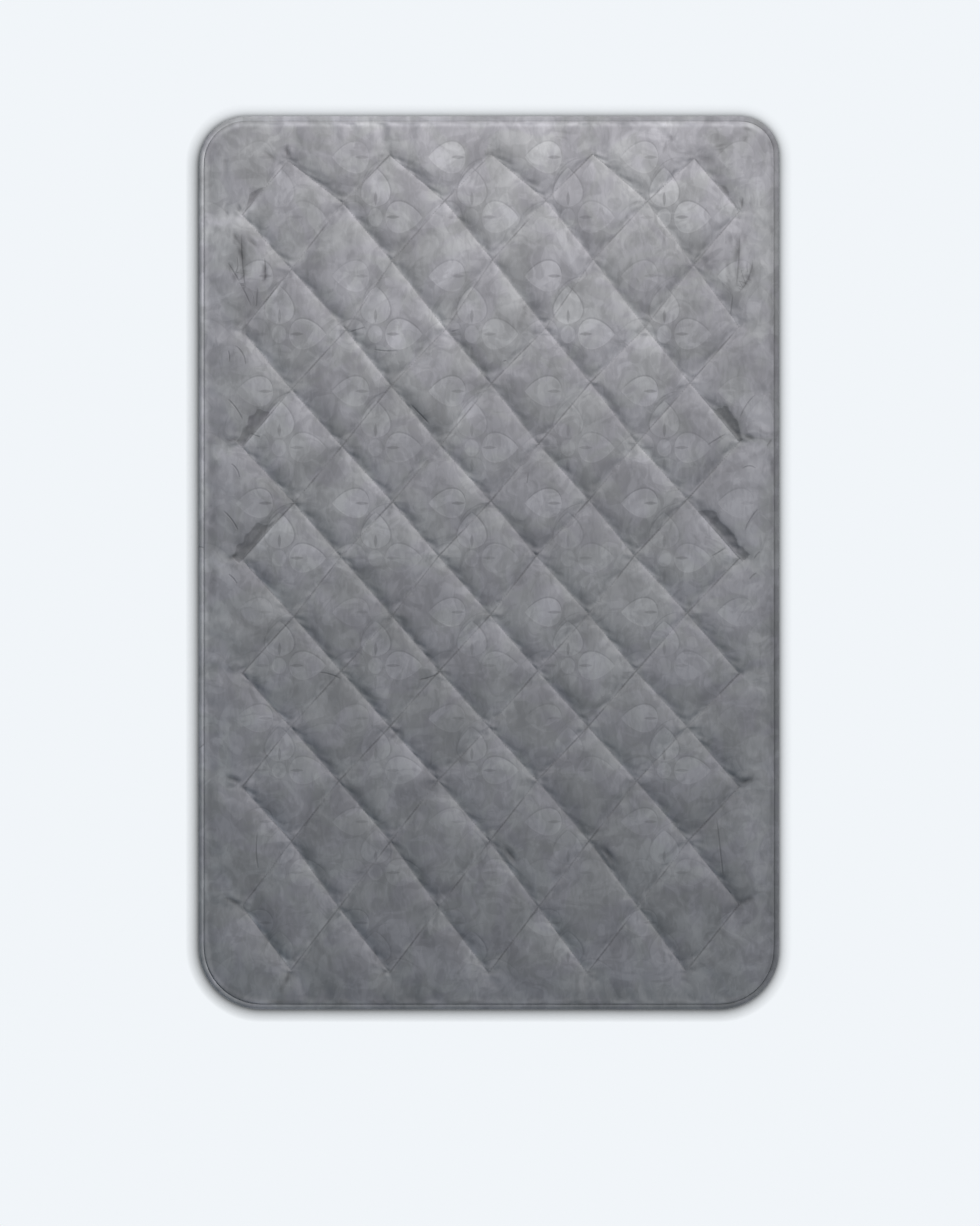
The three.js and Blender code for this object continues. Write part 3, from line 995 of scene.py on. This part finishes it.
print("open edges left after the back:", add_back(quilt))
pad_triangles = sum(len(face.vertices) - 2 for face in quilt.data.polygons)
print("pad:", pad_triangles, "triangles")

# %% [markdown]
# ## Embossed flowers and brushed pile
# The velvet is embossed with plain flowers, tone on tone. They could be modelled or taken from an image. They
# are too shallow for the one and repeat too simply for the other, so a node group works them out from a few
# formulas, and they stay sharp at any distance. A second group shades the patches in which the pile is
# brushed, from three sizes of noise.

# %% Small helpers for node trees
def set_inputs(modifier, tree, values):
    """Sets a Geometry Nodes modifier's inputs by the names they have in the tree."""
    modifier.node_group = tree
    for item in tree.interface.items_tree:
        if item.in_out == "INPUT" and item.name in values:
            modifier[item.identifier] = values[item.name]


def connect(tree, socket, value):
    """Links a socket to another one, or gives it a constant."""
    if isinstance(value, bpy.types.NodeSocket):
        tree.links.new(value, socket)
    else:
        socket.default_value = value


def add_node(tree, kind, inputs=None, **settings):
    """Adds one node with its settings and inputs."""
    made = tree.nodes.new(kind)
    for name, value in settings.items():
        setattr(made, name, value)
    for socket, value in (inputs or {}).items():
        connect(tree, made.inputs[socket], value)
    return made


def new_tree(name, kind, inputs, outputs):
    """An empty node group with named sockets, and its two end nodes."""
    tree = bpy.data.node_groups.new(name, kind)
    for title, socket in inputs.items():
        tree.interface.new_socket(title, in_out="INPUT", socket_type=socket)
    for title, socket in outputs.items():
        tree.interface.new_socket(title, in_out="OUTPUT", socket_type=socket)
    return tree, tree.nodes.new("NodeGroupInput"), tree.nodes.new("NodeGroupOutput")


# %% Small helpers for shader nodes
def calc(tree, operation, *values, clamp=False):
    """One Math node; returns its output."""
    made = add_node(tree, "ShaderNodeMath", dict(enumerate(values)), operation=operation, use_clamp=clamp)
    return made.outputs[0]


def noise(tree, at, scale, detail, distortion=0.0):
    """One Noise Texture; returns its value from 0 to 1."""
    made = add_node(tree, "ShaderNodeTexNoise",
                    {"Vector": at, "Scale": scale, "Detail": detail, "Distortion": distortion})
    return made.outputs["Fac"]


def length_of(tree, x, y):
    """Length of a vector in the plan; returns the output."""
    vector = add_node(tree, "ShaderNodeCombineXYZ", {"X": x, "Y": y})
    return add_node(tree, "ShaderNodeVectorMath", {0: vector.outputs[0]}, operation="LENGTH").outputs["Value"]


def spread(tree, value, low, high, to_low, to_high):
    """One Map Range with smooth ends; returns its output."""
    made = add_node(tree, "ShaderNodeMapRange",
                    {"Value": value, "From Min": low, "From Max": high, "To Min": to_low, "To Max": to_high},
                    interpolation_type="SMOOTHSTEP")
    return made.outputs["Result"]


# %% The embossed flowers, in millimetres
FLOWER_AT = (177.0, 257.0)
FLOWER_REPEAT = (215.0, 250.0)
FLOWER_STRETCH = 5.6e-5
PETAL_START = 22.0
PETAL_LENGTH = 83.0
PETAL_HALF_WIDTH = 34.0
PETAL_ROUND = 0.5
PETAL_POINT = 0.9
PETAL_PEAK = 0.4016
SLIT_HALF_WIDTH = 4.6
SLIT_LENGTH = 34.0
CENTRE_HALF = (17.0, 20.0)
LONE_START = 14.0
FAINT_PETAL = 0.45
EDGE_BLUR = 2.2
OUTLINE_HALF_WIDTH = 3.2
STEM_CENTRE = (38.0, 55.0)
STEM_RADIUS = 70.0
STEM_HALF_WIDTH = 2.0
UPPER_EDGE_FROM = 12.0
EDGE_FADE_WIDTH = 10.0
STEM_FADE = (20.0, 10.0)


def heart(tree, along, aside):
    """A heart-shaped petal from its notch to its point, and the lines of painted shade that show it: slit and
    upper edge.
    """
    share = calc(tree, "DIVIDE", along, PETAL_LENGTH, clamp=True)
    rounded = calc(tree, "POWER", share, PETAL_ROUND)
    pointed = calc(tree, "POWER", calc(tree, "SUBTRACT", 1.0, share), PETAL_POINT)
    full = calc(tree, "MULTIPLY", rounded, pointed)
    half_width = calc(tree, "MULTIPLY", full, PETAL_HALF_WIDTH / PETAL_PEAK)
    distance = calc(tree, "ABSOLUTE", aside)
    to_edge = calc(tree, "SUBTRACT", half_width, distance)
    inside = calc(tree, "DIVIDE", to_edge, EDGE_BLUR, clamp=True)
    part = calc(tree, "DIVIDE", along, SLIT_LENGTH, clamp=True)
    leaf = calc(tree, "MULTIPLY", calc(tree, "MULTIPLY", part, 4.0), calc(tree, "SUBTRACT", 1.0, part))
    slit_width = calc(tree, "MULTIPLY", leaf, SLIT_HALF_WIDTH)
    slit = calc(tree, "DIVIDE", calc(tree, "SUBTRACT", slit_width, distance), EDGE_BLUR, clamp=True)
    slit = calc(tree, "MULTIPLY", slit, inside)
    off_edge = calc(tree, "ABSOLUTE", to_edge)
    near = calc(tree, "MULTIPLY_ADD", off_edge, -1 / OUTLINE_HALF_WIDTH, 1.0, clamp=True)
    # Only the upper edge gets the line: painted shade of the emboss.
    upper = calc(tree, "MULTIPLY", calc(tree, "DIVIDE", aside, UPPER_EDGE_FROM, clamp=True),
                 calc(tree, "DIVIDE", half_width, EDGE_FADE_WIDTH, clamp=True))
    line = calc(tree, "MAXIMUM", calc(tree, "MULTIPLY", near, upper), slit)
    return calc(tree, "SUBTRACT", inside, slit), line


def stem(tree, across, along):
    """A thin arc, up and to the left of its centre."""
    left = calc(tree, "SUBTRACT", STEM_CENTRE[0], across)
    up = calc(tree, "SUBTRACT", along, STEM_CENTRE[1])
    off_arc = calc(tree, "ABSOLUTE", calc(tree, "SUBTRACT", length_of(tree, left, up), STEM_RADIUS))
    line = calc(tree, "SUBTRACT", 1.0, calc(tree, "DIVIDE", off_arc, STEM_HALF_WIDTH), clamp=True)
    quarter = calc(tree, "MULTIPLY", calc(tree, "DIVIDE", left, STEM_FADE[0], clamp=True),
                   calc(tree, "DIVIDE", up, STEM_FADE[1], clamp=True))
    return calc(tree, "MULTIPLY", line, quarter)


def flower_group():
    """Four heart petals round an oval, two of them faint, a lone heart between the rows, and thin lines of
    painted shade.
    """
    tree, enter, leave = new_tree("embossed_flowers", "ShaderNodeTree", {"Plan": "NodeSocketVector"},
                                  {"Petal": "NodeSocketFloat", "Line": "NodeSocketFloat"})
    at = add_node(tree, "ShaderNodeSeparateXYZ", {0: enter.outputs["Plan"]})
    x = calc(tree, "MULTIPLY_ADD", at.outputs["X"], 1 / MM, -FLOWER_AT[0])
    rise = calc(tree, "MULTIPLY_ADD", at.outputs["Y"], 1 / MM, -FLOWER_AT[1])
    y = calc(tree, "MULTIPLY_ADD", calc(tree, "MULTIPLY", rise, rise), -FLOWER_STRETCH, rise)
    half_x, half_y = FLOWER_REPEAT[0] / 2, FLOWER_REPEAT[1] / 2
    across = calc(tree, "WRAP", x, half_x, -half_x)
    along = calc(tree, "WRAP", y, half_y, -half_y)
    between = calc(tree, "WRAP", calc(tree, "ADD", y, half_y), half_y, -half_y)
    side = calc(tree, "ABSOLUTE", across)
    up = calc(tree, "ABSOLUTE", along)
    least = calc(tree, "MULTIPLY", calc(tree, "MINIMUM", side, up), calc(tree, "SIGN", along))
    reach = calc(tree, "SUBTRACT", calc(tree, "MAXIMUM", side, up), PETAL_START)
    four, four_lines = heart(tree, reach, least)
    flat = calc(tree, "GREATER_THAN", side, up)
    outward = add_node(tree, "ShaderNodeMix", {"Factor": flat, "A": along, "B": across}).outputs["Result"]
    clear = calc(tree, "MULTIPLY_ADD", calc(tree, "GREATER_THAN", outward, 0.0), 1 - FAINT_PETAL, FAINT_PETAL)
    four = calc(tree, "MULTIPLY", four, clear)
    four_lines = calc(tree, "MULTIPLY", four_lines, clear)
    lone, lone_lines = heart(tree, calc(tree, "MULTIPLY_ADD", across, -1.0, -LONE_START), between)
    oval = length_of(tree, calc(tree, "DIVIDE", across, CENTRE_HALF[0]),
                     calc(tree, "DIVIDE", along, CENTRE_HALF[1]))
    middle = calc(tree, "MULTIPLY", calc(tree, "SUBTRACT", 1.0, oval), CENTRE_HALF[0] / EDGE_BLUR, clamp=True)
    petal = calc(tree, "MAXIMUM", calc(tree, "MAXIMUM", four, lone), middle)
    lines = calc(tree, "MAXIMUM", calc(tree, "MAXIMUM", four_lines, lone_lines), stem(tree, across, along))
    tree.links.new(petal, leave.inputs["Petal"])
    tree.links.new(lines, leave.inputs["Line"])
    return tree


# %% The brushed pile
WIDE_PATCHES = dict(scale=6.0, detail=3.0, distortion=0.8, low=0.4, high=0.6, to_low=0.91, to_high=1.08)
SMALL_PATCHES = dict(scale=19.0, detail=3.0, distortion=1.4, low=0.43, high=0.57, to_low=0.93, to_high=1.07)
STROKES = dict(scale=70.0, detail=3.0, distortion=1.0, low=0.4, high=0.6, to_low=0.955, to_high=1.045)
WARMTH = dict(scale=9.0, detail=2.0, distortion=1.2, low=0.4, high=0.6, to_low=0.0, to_high=1.0)
GRAIN_SCALE = 700.0
GRAIN_DETAIL = 2.0
STROKE_TURN = (0, 0, 0.5)
STROKE_STRETCH = (1.0, 0.4, 1.0)
LILAC = (1.0, 0.993, 1.011)
GREENISH_FROM_LILAC = (0.0, 0.015, -0.022)


def patches(tree, at, scale, detail, distortion, **limits):
    """Soft patches of one size, from a noise spread between two limits."""
    return spread(tree, noise(tree, at, scale, detail, distortion), **limits)


def pile_group():
    """Light and dark patches of brushed pile, slightly lilac or greenish, and the grain of single tufts."""
    tree, enter, leave = new_tree("brushed_pile", "ShaderNodeTree", {"Plan": "NodeSocketVector"},
                                  {"Shade": "NodeSocketFloat", "Tint": "NodeSocketVector",
                                   "Grain": "NodeSocketFloat"})
    plan = enter.outputs["Plan"]
    stroke = add_node(tree, "ShaderNodeMapping",
                      {"Vector": plan, "Rotation": STROKE_TURN, "Scale": STROKE_STRETCH})
    wide = patches(tree, plan, **WIDE_PATCHES)
    small = patches(tree, plan, **SMALL_PATCHES)
    strokes = patches(tree, stroke.outputs[0], **STROKES)
    grain = noise(tree, plan, GRAIN_SCALE, GRAIN_DETAIL)
    shade = calc(tree, "MULTIPLY", calc(tree, "MULTIPLY", wide, small), strokes)
    warmth = patches(tree, plan, **WARMTH)
    tint = add_node(tree, "ShaderNodeVectorMath", {0: warmth, 1: GREENISH_FROM_LILAC, 2: LILAC},
                    operation="MULTIPLY_ADD")
    tree.links.new(shade, leave.inputs["Shade"])
    tree.links.new(tint.outputs[0], leave.inputs["Tint"])
    tree.links.new(grain, leave.inputs["Grain"])
    return tree


FLOWERS = flower_group()
PILE = pile_group()
print("flowers of", len(FLOWERS.nodes), "nodes, pile of", len(PILE.nodes), "nodes")

# %% [markdown]
# ## Velvet
# Short-pile velvet has no gloss, only a soft light on the tips of its pile, which is the sheen. The material
# joins the two groups with what was stored on the mesh: painted light and shade on the pile, and painted
# shade in the tucks, the creases and along the lines of the seams. The piping has the same velvet without
# flowers.

# %% Velvet of one colour
CREASE_PAINTED_SHADE = 0.28
CREASE_DEPTH = 0.7
CREASE_HALF_WIDTH = 2.6
PAINTED_LIGHT_AND_PILE_DARKER = 0.48
GRAIN_DEPTH = 0.08
VELVET_SHADER = {"Roughness": 0.9, "Specular IOR Level": 0.15, "Sheen Weight": 0.25, "Sheen Roughness": 0.4}


def darkened(tree, shade, mask, amount):
    """A shade made darker by an amount where a mask is 1; a negative amount makes it lighter."""
    return calc(tree, "MULTIPLY", shade, calc(tree, "MULTIPLY_ADD", mask, -amount, 1.0))


def stored(tree, name):
    """A value kept on the mesh."""
    return add_node(tree, "ShaderNodeAttribute", attribute_name=name).outputs["Fac"]


def thin_line(tree, name, half_width):
    """A line where the distance stored under a name is small, as strong as is stored beside it."""
    aside = calc(tree, "ABSOLUTE", stored(tree, name + "_aside"))
    near = calc(tree, "MULTIPLY_ADD", aside, -1 / half_width, 1.0, clamp=True)
    return calc(tree, "MULTIPLY", near, stored(tree, name + "_strength"))


def velvet_material(name, colour):
    """Plain velvet of one colour, with the sockets of its plan, shade, relief and tinted colour."""
    material = bpy.data.materials.new(name)
    material.use_nodes = True
    tree = material.node_tree
    plan = add_node(tree, "ShaderNodeTexCoord").outputs["Object"]
    pile = add_node(tree, "ShaderNodeGroup", node_tree=PILE)
    tree.links.new(plan, pile.inputs["Plan"])
    crease = thin_line(tree, "crease", CREASE_HALF_WIDTH)
    # Painted shade along the creases.
    shade = darkened(tree, pile.outputs["Shade"], crease, CREASE_PAINTED_SHADE)
    # Painted light and shade stored on the mesh, with the pile's random strokes.
    shade = darkened(tree, shade, stored(tree, "painted_light_and_pile"), PAINTED_LIGHT_AND_PILE_DARKER)
    relief = calc(tree, "MULTIPLY", pile.outputs["Grain"], GRAIN_DEPTH)
    relief = calc(tree, "MULTIPLY_ADD", crease, -CREASE_DEPTH, relief)
    tinted = add_node(tree, "ShaderNodeVectorMath", {0: colour, 1: pile.outputs["Tint"]},
                      operation="MULTIPLY")
    return material, plan, shade, relief, tinted.outputs[0]


def finish_velvet(material, shade, relief, colour):
    """Joins shade and relief to the shader and sets its constants."""
    tree = material.node_tree
    shader = tree.nodes["Principled BSDF"]
    lit = add_node(tree, "ShaderNodeVectorMath", {0: colour, "Scale": shade}, operation="SCALE")
    bump = add_node(tree, "ShaderNodeBump", {"Strength": 1.0, "Distance": 1 * MM, "Height": relief})
    tree.links.new(lit.outputs[0], shader.inputs["Base Color"])
    tree.links.new(bump.outputs[0], shader.inputs["Normal"])
    for name, value in VELVET_SHADER.items():
        shader.inputs[name].default_value = value
    return material


# %% Velvet of the quilt and the piping, and the thread
VELVET = (0.262, 0.258, 0.272)
PIPING_VELVET = (0.268, 0.266, 0.28)
THREAD = (0.23, 0.23, 0.24)
THREAD_ROUGHNESS = 0.6
PETAL_LIGHTER = 0.2
PETAL_DEPTH = 0.35
FLOWER_LINE_PAINTED_SHADE = 0.13
LINE_DEPTH = 0.3
TUCK_PAINTED_SHADE = 0.27
TUCK_BLUR = 2.5
SEAM_PAINTED_SHADE = 0.3
SEAM_HALF_WIDTH = 3.0
PIPING_PAINTED_LIGHT_LEFT = 0.3


def quilt_velvet():
    """Velvet with embossed flowers, with painted shade in the seams, tucks, folds and creases and along the
    flower outlines, and painted light where the stored values say.
    """
    material, plan, shade, relief, colour = velvet_material("velvet", VELVET)
    tree = material.node_tree
    flower = add_node(tree, "ShaderNodeGroup", node_tree=FLOWERS)
    tree.links.new(plan, flower.inputs["Plan"])
    emboss = stored(tree, "emboss")
    petal = calc(tree, "MULTIPLY", flower.outputs["Petal"], emboss)
    line = calc(tree, "MULTIPLY", flower.outputs["Line"], emboss)
    tucked = calc(tree, "DIVIDE", stored(tree, "tucked"), TUCK_BLUR, clamp=True)
    shade = darkened(tree, shade, petal, -PETAL_LIGHTER)
    # Painted shade along the slits, the upper edges of the petals and the stems.
    shade = darkened(tree, shade, line, FLOWER_LINE_PAINTED_SHADE)
    # Painted shade inside the tucks.
    shade = darkened(tree, shade, tucked, TUCK_PAINTED_SHADE)
    # A thin line of painted shade along each seam.
    shade = darkened(tree, shade, thin_line(tree, "seam", SEAM_HALF_WIDTH), SEAM_PAINTED_SHADE)
    relief = calc(tree, "MULTIPLY_ADD", petal, -PETAL_DEPTH, relief)
    relief = calc(tree, "MULTIPLY_ADD", line, -LINE_DEPTH, relief)
    return finish_velvet(material, shade, relief, colour)


def strip_velvet():
    """Velvet of the piping, with painted light on its left side and painted shade on its right."""
    material, plan, shade, relief, colour = velvet_material("piping_velvet", PIPING_VELVET)
    tree = material.node_tree
    across = add_node(tree, "ShaderNodeSeparateXYZ", {0: plan}).outputs["X"]
    # Painted light on the left side of the piping, painted shade on the right.
    shade = darkened(tree, shade, across, PIPING_PAINTED_LIGHT_LEFT)
    return finish_velvet(material, shade, relief, colour)


def thread_material():
    """Plain sewing thread."""
    material = bpy.data.materials.new("thread")
    material.use_nodes = True
    shader = material.node_tree.nodes["Principled BSDF"]
    shader.inputs["Base Color"].default_value = (*THREAD, 1)
    shader.inputs["Roughness"].default_value = THREAD_ROUGHNESS
    return material


velvet = quilt_velvet()
piping_velvet = strip_velvet()
thread = thread_material()
quilt.data.materials.append(velvet)
print("materials:", velvet.name, piping_velvet.name, thread.name)

# %% [markdown]
# ## Piping
# The piping is a cord in a bias strip, sewn all round between face and back. Geometry Nodes sweeps a circle
# along the outline, which keeps the section round in the corners, and a seeded noise makes the strip slightly
# lumpy.

# %% Sweep the piping
PIPING_SIDES = 16
PIPING_STEP = 7 * MM
PIPING_LUMPS = 0.7 * MM
LUMPS_SCALE = 24.0
LUMPS_SEED = 4.0
CORNER_STEPS = 40


def piping_tree():
    """Mesh line in, round lumpy tube out."""
    tree, enter, leave = new_tree(
        "piping_sweep", "GeometryNodeTree",
        {"Line": "NodeSocketGeometry", "Radius": "NodeSocketFloat", "Sides": "NodeSocketInt",
         "Lumps": "NodeSocketFloat", "Seed": "NodeSocketFloat", "Cloth": "NodeSocketMaterial"},
        {"Tube": "NodeSocketGeometry"})
    take = enter.outputs
    line = add_node(tree, "GeometryNodeMeshToCurve", {"Mesh": take["Line"]})
    ring = add_node(tree, "GeometryNodeCurvePrimitiveCircle",
                    {"Resolution": take["Sides"], "Radius": take["Radius"]})
    tube = add_node(tree, "GeometryNodeCurveToMesh",
                    {"Curve": line.outputs[0], "Profile Curve": ring.outputs[0]})
    bumps = add_node(tree, "ShaderNodeTexNoise", {"W": take["Seed"], "Scale": LUMPS_SCALE, "Detail": 1.0},
                     noise_dimensions="4D")
    centred = add_node(tree, "ShaderNodeVectorMath", {0: bumps.outputs["Color"], 1: (0.5, 0.5, 0.5)},
                       operation="SUBTRACT")
    shift = add_node(tree, "ShaderNodeVectorMath", {0: centred.outputs[0], "Scale": take["Lumps"]},
                     operation="SCALE")
    lumpy = add_node(tree, "GeometryNodeSetPosition",
                     {"Geometry": tube.outputs[0], "Offset": shift.outputs[0]})
    real = add_node(tree, "GeometryNodeRealizeInstances", {"Geometry": lumpy.outputs[0]})
    done = add_node(tree, "GeometryNodeSetMaterial", {"Geometry": real.outputs[0], "Material": take["Cloth"]})
    tree.links.new(done.outputs[0], leave.inputs["Tube"])
    return tree


def outline(inset):
    """Points of a line set in from the outer edge, evenly spaced round the whole duvet."""
    corners = []
    for (first, last), radius in CORNER_RADIUS.items():
        first_out = np.array(OUTWARD[first], float)
        last_out = np.array(OUTWARD[last], float)
        turn = np.linspace(0, np.pi / 2, CORNER_STEPS)[:, None]
        corners.append((first_out + last_out) * (HALF - radius)
                       + (radius - inset) * (np.cos(turn) * first_out + np.sin(turn) * last_out))
    loop = np.concatenate(corners + [corners[0][:1]])
    run = np.concatenate([[0], np.cumsum(np.linalg.norm(np.diff(loop, axis=0), axis=1))])
    stops = np.arange(0, run[-1] - PIPING_STEP / 2, PIPING_STEP)
    return np.column_stack([np.interp(stops, run, loop[:, 0]), np.interp(stops, run, loop[:, 1])])


ring = outline(PIPING_RADIUS)
print("line of the piping:", len(ring), "points")

# %% Make the piping
ring_points = np.column_stack([ring, np.full(len(ring), PIPING_RADIUS)])
ring_edges = [(k, (k + 1) % len(ring)) for k in range(len(ring))]
piping = mesh_object("piping_cord", ring_points, edges=ring_edges)
sweep = piping.modifiers.new("sweep", "NODES")
set_inputs(sweep, piping_tree(), {"Radius": PIPING_RADIUS - PIPING_LUMPS / 4, "Sides": PIPING_SIDES,
                                  "Lumps": PIPING_LUMPS, "Seed": LUMPS_SEED, "Cloth": piping_velvet})
bake_modifiers(piping)
# Painted light and shade of the piping.
store(piping.data, "painted_light_and_pile", piping_painted_light(coordinates(piping.data)[:, :2]))
store_creases(piping.data, PIPING_CREASES)
print("piping:", len(piping.data.polygons), "quads", [round(v, 4) for v in piping.dimensions])

# %% [markdown]
# ## Stitches
# Each seam is a line of short stitches. They repeat thousands of times along paths, so Geometry Nodes lays
# one small thread shape at even steps along the seam lines, turned to follow them.

# %% Lay the stitches
STITCH_PITCH = 6 * MM
STITCH_HALF_LENGTH = 2.1 * MM
THREAD_RADIUS = 0.4 * MM
STITCH_FACES = 20
STITCH_SEED = 7
WIRE_STEPS = 12
LEAST_STITCH = (0.85, 0.9, 0.9)
LARGEST_STITCH = (1.1, 1.1, 1.1)


def stitch_tree():
    """Seam lines in, a row of small stitches out."""
    tree, enter, leave = new_tree(
        "stitch_rows", "GeometryNodeTree",
        {"Seams": "NodeSocketGeometry", "Pitch": "NodeSocketFloat", "Half length": "NodeSocketFloat",
         "Thread radius": "NodeSocketFloat", "Seed": "NodeSocketInt", "Thread": "NodeSocketMaterial"},
        {"Stitches": "NodeSocketGeometry"})
    take = enter.outputs
    line = add_node(tree, "GeometryNodeMeshToCurve", {"Mesh": take["Seams"]})
    steps = add_node(tree, "GeometryNodeResampleCurve", {"Curve": line.outputs[0], "Length": take["Pitch"]},
                     mode="LENGTH")
    size = add_node(tree, "ShaderNodeCombineXYZ", {"X": take["Half length"], "Y": take["Thread radius"],
                                                   "Z": take["Thread radius"]})
    ball = add_node(tree, "GeometryNodeMeshIcoSphere", {"Radius": 1.0, "Subdivisions": 1})
    stitch = add_node(tree, "GeometryNodeTransform",
                      {"Geometry": ball.outputs["Mesh"], "Scale": size.outputs[0]})
    tangent = add_node(tree, "GeometryNodeInputTangent")
    turn = add_node(tree, "FunctionNodeAlignRotationToVector", {"Vector": tangent.outputs[0]}, axis="X")
    uneven_size = add_node(tree, "FunctionNodeRandomValue",
                           {"Min": LEAST_STITCH, "Max": LARGEST_STITCH, "Seed": take["Seed"]},
                           data_type="FLOAT_VECTOR")
    rows = add_node(tree, "GeometryNodeInstanceOnPoints",
                    {"Points": steps.outputs[0], "Instance": stitch.outputs[0], "Rotation": turn.outputs[0],
                     "Scale": uneven_size.outputs[0]})
    real = add_node(tree, "GeometryNodeRealizeInstances", {"Geometry": rows.outputs[0]})
    done = add_node(tree, "GeometryNodeSetMaterial",
                    {"Geometry": real.outputs[0], "Material": take["Thread"]})
    tree.links.new(done.outputs[0], leave.inputs["Stitches"])
    return tree


def seam_wires():
    """The seams as lines a thread's radius above the cloth."""
    run = np.linspace(0, 1, WIRE_STEPS + 1)
    height = CROSSING_HEIGHT + SEAM_RISE * 4 * run * (1 - run) + THREAD_RADIUS
    points, edges = [], []
    for start, end in SEAMS:
        first = len(points)
        points += np.column_stack([mix(start, end, run[:, None]), height]).tolist()
        edges += [(first + k, first + k + 1) for k in range(WIRE_STEPS)]
    return points, edges


wire_points, wire_edges = seam_wires()
stitches = mesh_object("stitches", wire_points, edges=wire_edges)
rows = stitches.modifiers.new("rows", "NODES")
set_inputs(rows, stitch_tree(), {"Pitch": STITCH_PITCH, "Half length": STITCH_HALF_LENGTH,
                                 "Thread radius": THREAD_RADIUS, "Seed": STITCH_SEED, "Thread": thread})
bake_modifiers(stitches)
print("stitches:", len(stitches.data.polygons) // STITCH_FACES, "of", STITCH_FACES, "faces each")

# %% [markdown]
# ## Tell the frame what the pieces are
# The pad replaces the plain quilt solid and the cord replaces the plain piping; the stitches only ride along.

# %% Pieces
for piece in (quilt, piping, stitches):
    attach(piece, "root")
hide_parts("quilt")
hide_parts("piping")
print("pieces:", quilt.name, piping.name, stitches.name)

# %% [markdown]
# ## Camera, light and floor
# The photograph looks straight down from far away, so a long lens keeps the sides upright. A soft lamp
# beyond the head end, a little to the right, gives the fall of light from head to foot. A second light from
# the right draws the slanting seams, and a weak one from the foot fills their shadows. The floor is pale and
# glows evenly, with a painted shadow beside the duvet.

# %% Camera
PHOTO_WIDTH_PX = 980
PHOTO_HEIGHT_PX = 1226
MM_PER_PX = 2.2385
CENTRE_PX = (488.9, 562.75)
LENS = 105
SENSOR = 36


def add_camera():
    """The camera of the photograph: a fixed scale, and the duvet's middle where it is in the picture."""
    data = bpy.data.cameras.new("camera")
    data.lens = LENS
    data.sensor_width = SENSOR
    camera = bpy.data.objects.new("camera", data)
    bpy.context.scene.collection.objects.link(camera)
    seen_height = PHOTO_HEIGHT_PX * MM_PER_PX * MM
    camera.location = (
        (PHOTO_WIDTH_PX / 2 - CENTRE_PX[0]) * MM_PER_PX * MM,
        (CENTRE_PX[1] - PHOTO_HEIGHT_PX / 2) * MM_PER_PX * MM,
        seen_height * LENS / SENSOR + PIPING_RADIUS,
    )
    bpy.context.scene.camera = camera
    return camera


print("camera at", [round(v, 3) for v in add_camera().location])

# %% Floor
FLOOR_HALF = 30
FLOOR_COLOUR = (0.88, 0.914, 0.947)
PAINTED_SHADOW_REACH = 31 * MM
PAINTED_SHADOW_POWER = 2.8
PAINTED_SHADOW_LEAN = (0.12, 0.2, 1.0)
PAINTED_SHADOW_SAMPLES = 16


def floor_material():
    """A pale floor that glows evenly, with a painted shadow from an ambient occlusion node beside what stands
    on it.
    """
    material = bpy.data.materials.new("floor")
    material.use_nodes = True
    tree = material.node_tree
    tree.nodes.remove(tree.nodes["Principled BSDF"])
    lean = add_node(tree, "ShaderNodeCombineXYZ", dict(enumerate(PAINTED_SHADOW_LEAN)))
    # Ambient occlusion darkens the glowing floor beside the duvet: a painted shadow.
    near = add_node(tree, "ShaderNodeAmbientOcclusion",
                    {"Distance": PAINTED_SHADOW_REACH, "Normal": lean.outputs[0]}, samples=PAINTED_SHADOW_SAMPLES)
    shade = calc(tree, "POWER", near.outputs["AO"], PAINTED_SHADOW_POWER)
    glow = add_node(tree, "ShaderNodeEmission", {"Color": (*FLOOR_COLOUR, 1), "Strength": shade})
    tree.links.new(glow.outputs[0], tree.nodes["Material Output"].inputs["Surface"])
    return material


floor_corners = [(FLOOR_HALF * x, FLOOR_HALF * y, 0) for x, y in ((-1, -1), (1, -1), (1, 1), (-1, 1))]
floor = mesh_object("floor", floor_corners, faces=[(0, 1, 2, 3)])
floor.data.materials.append(floor_material())
print("floor:", [round(v, 1) for v in floor.dimensions], "m")

# %% Lights
SKY_COLOUR = (0.72, 0.93, 1.08)
SKY_STRENGTH = 0.18


def area_light(name, place, aim, size, power, colour):
    """A round soft lamp at a place, turned to a point."""
    lamp = bpy.data.lights.new(name, "AREA")
    lamp.shape = "DISK"
    lamp.size = size
    lamp.energy = power
    lamp.color = colour
    thing = bpy.data.objects.new(name, lamp)
    bpy.context.scene.collection.objects.link(thing)
    thing.location = place
    thing.rotation_mode = "QUATERNION"
    thing.rotation_quaternion = (Vector(aim) - Vector(place)).to_track_quat("-Z", "Y")


def sun_light(name, towards, spread_angle, power, colour):
    """A distant light that shines in one direction."""
    lamp = bpy.data.lights.new(name, "SUN")
    lamp.angle = spread_angle
    lamp.energy = power
    lamp.color = colour
    thing = bpy.data.objects.new(name, lamp)
    bpy.context.scene.collection.objects.link(thing)
    thing.rotation_mode = "QUATERNION"
    thing.rotation_quaternion = Vector(towards).to_track_quat("-Z", "Y")


def add_world():
    """A weak bluish light from all sides."""
    world = bpy.data.worlds.new("studio")
    world.use_nodes = True
    back = world.node_tree.nodes["Background"]
    back.inputs["Color"].default_value = (*SKY_COLOUR, 1)
    back.inputs["Strength"].default_value = SKY_STRENGTH
    bpy.context.scene.world = world


add_world()
area_light("head lamp", place=(0.25, 1.75, 1.55), aim=(0, 0.5, 0), size=0.8, power=36.5,
           colour=(1, 0.98, 0.96))
sun_light("side light", towards=(-0.76, -0.25, -0.6), spread_angle=0.35, power=1.06, colour=(1, 0.99, 0.98))
sun_light("fill light", towards=(0.5, 0.75, -0.7), spread_angle=1.2, power=0.25, colour=(0.92, 0.96, 1))
bpy.context.scene.view_settings.view_transform = "Standard"
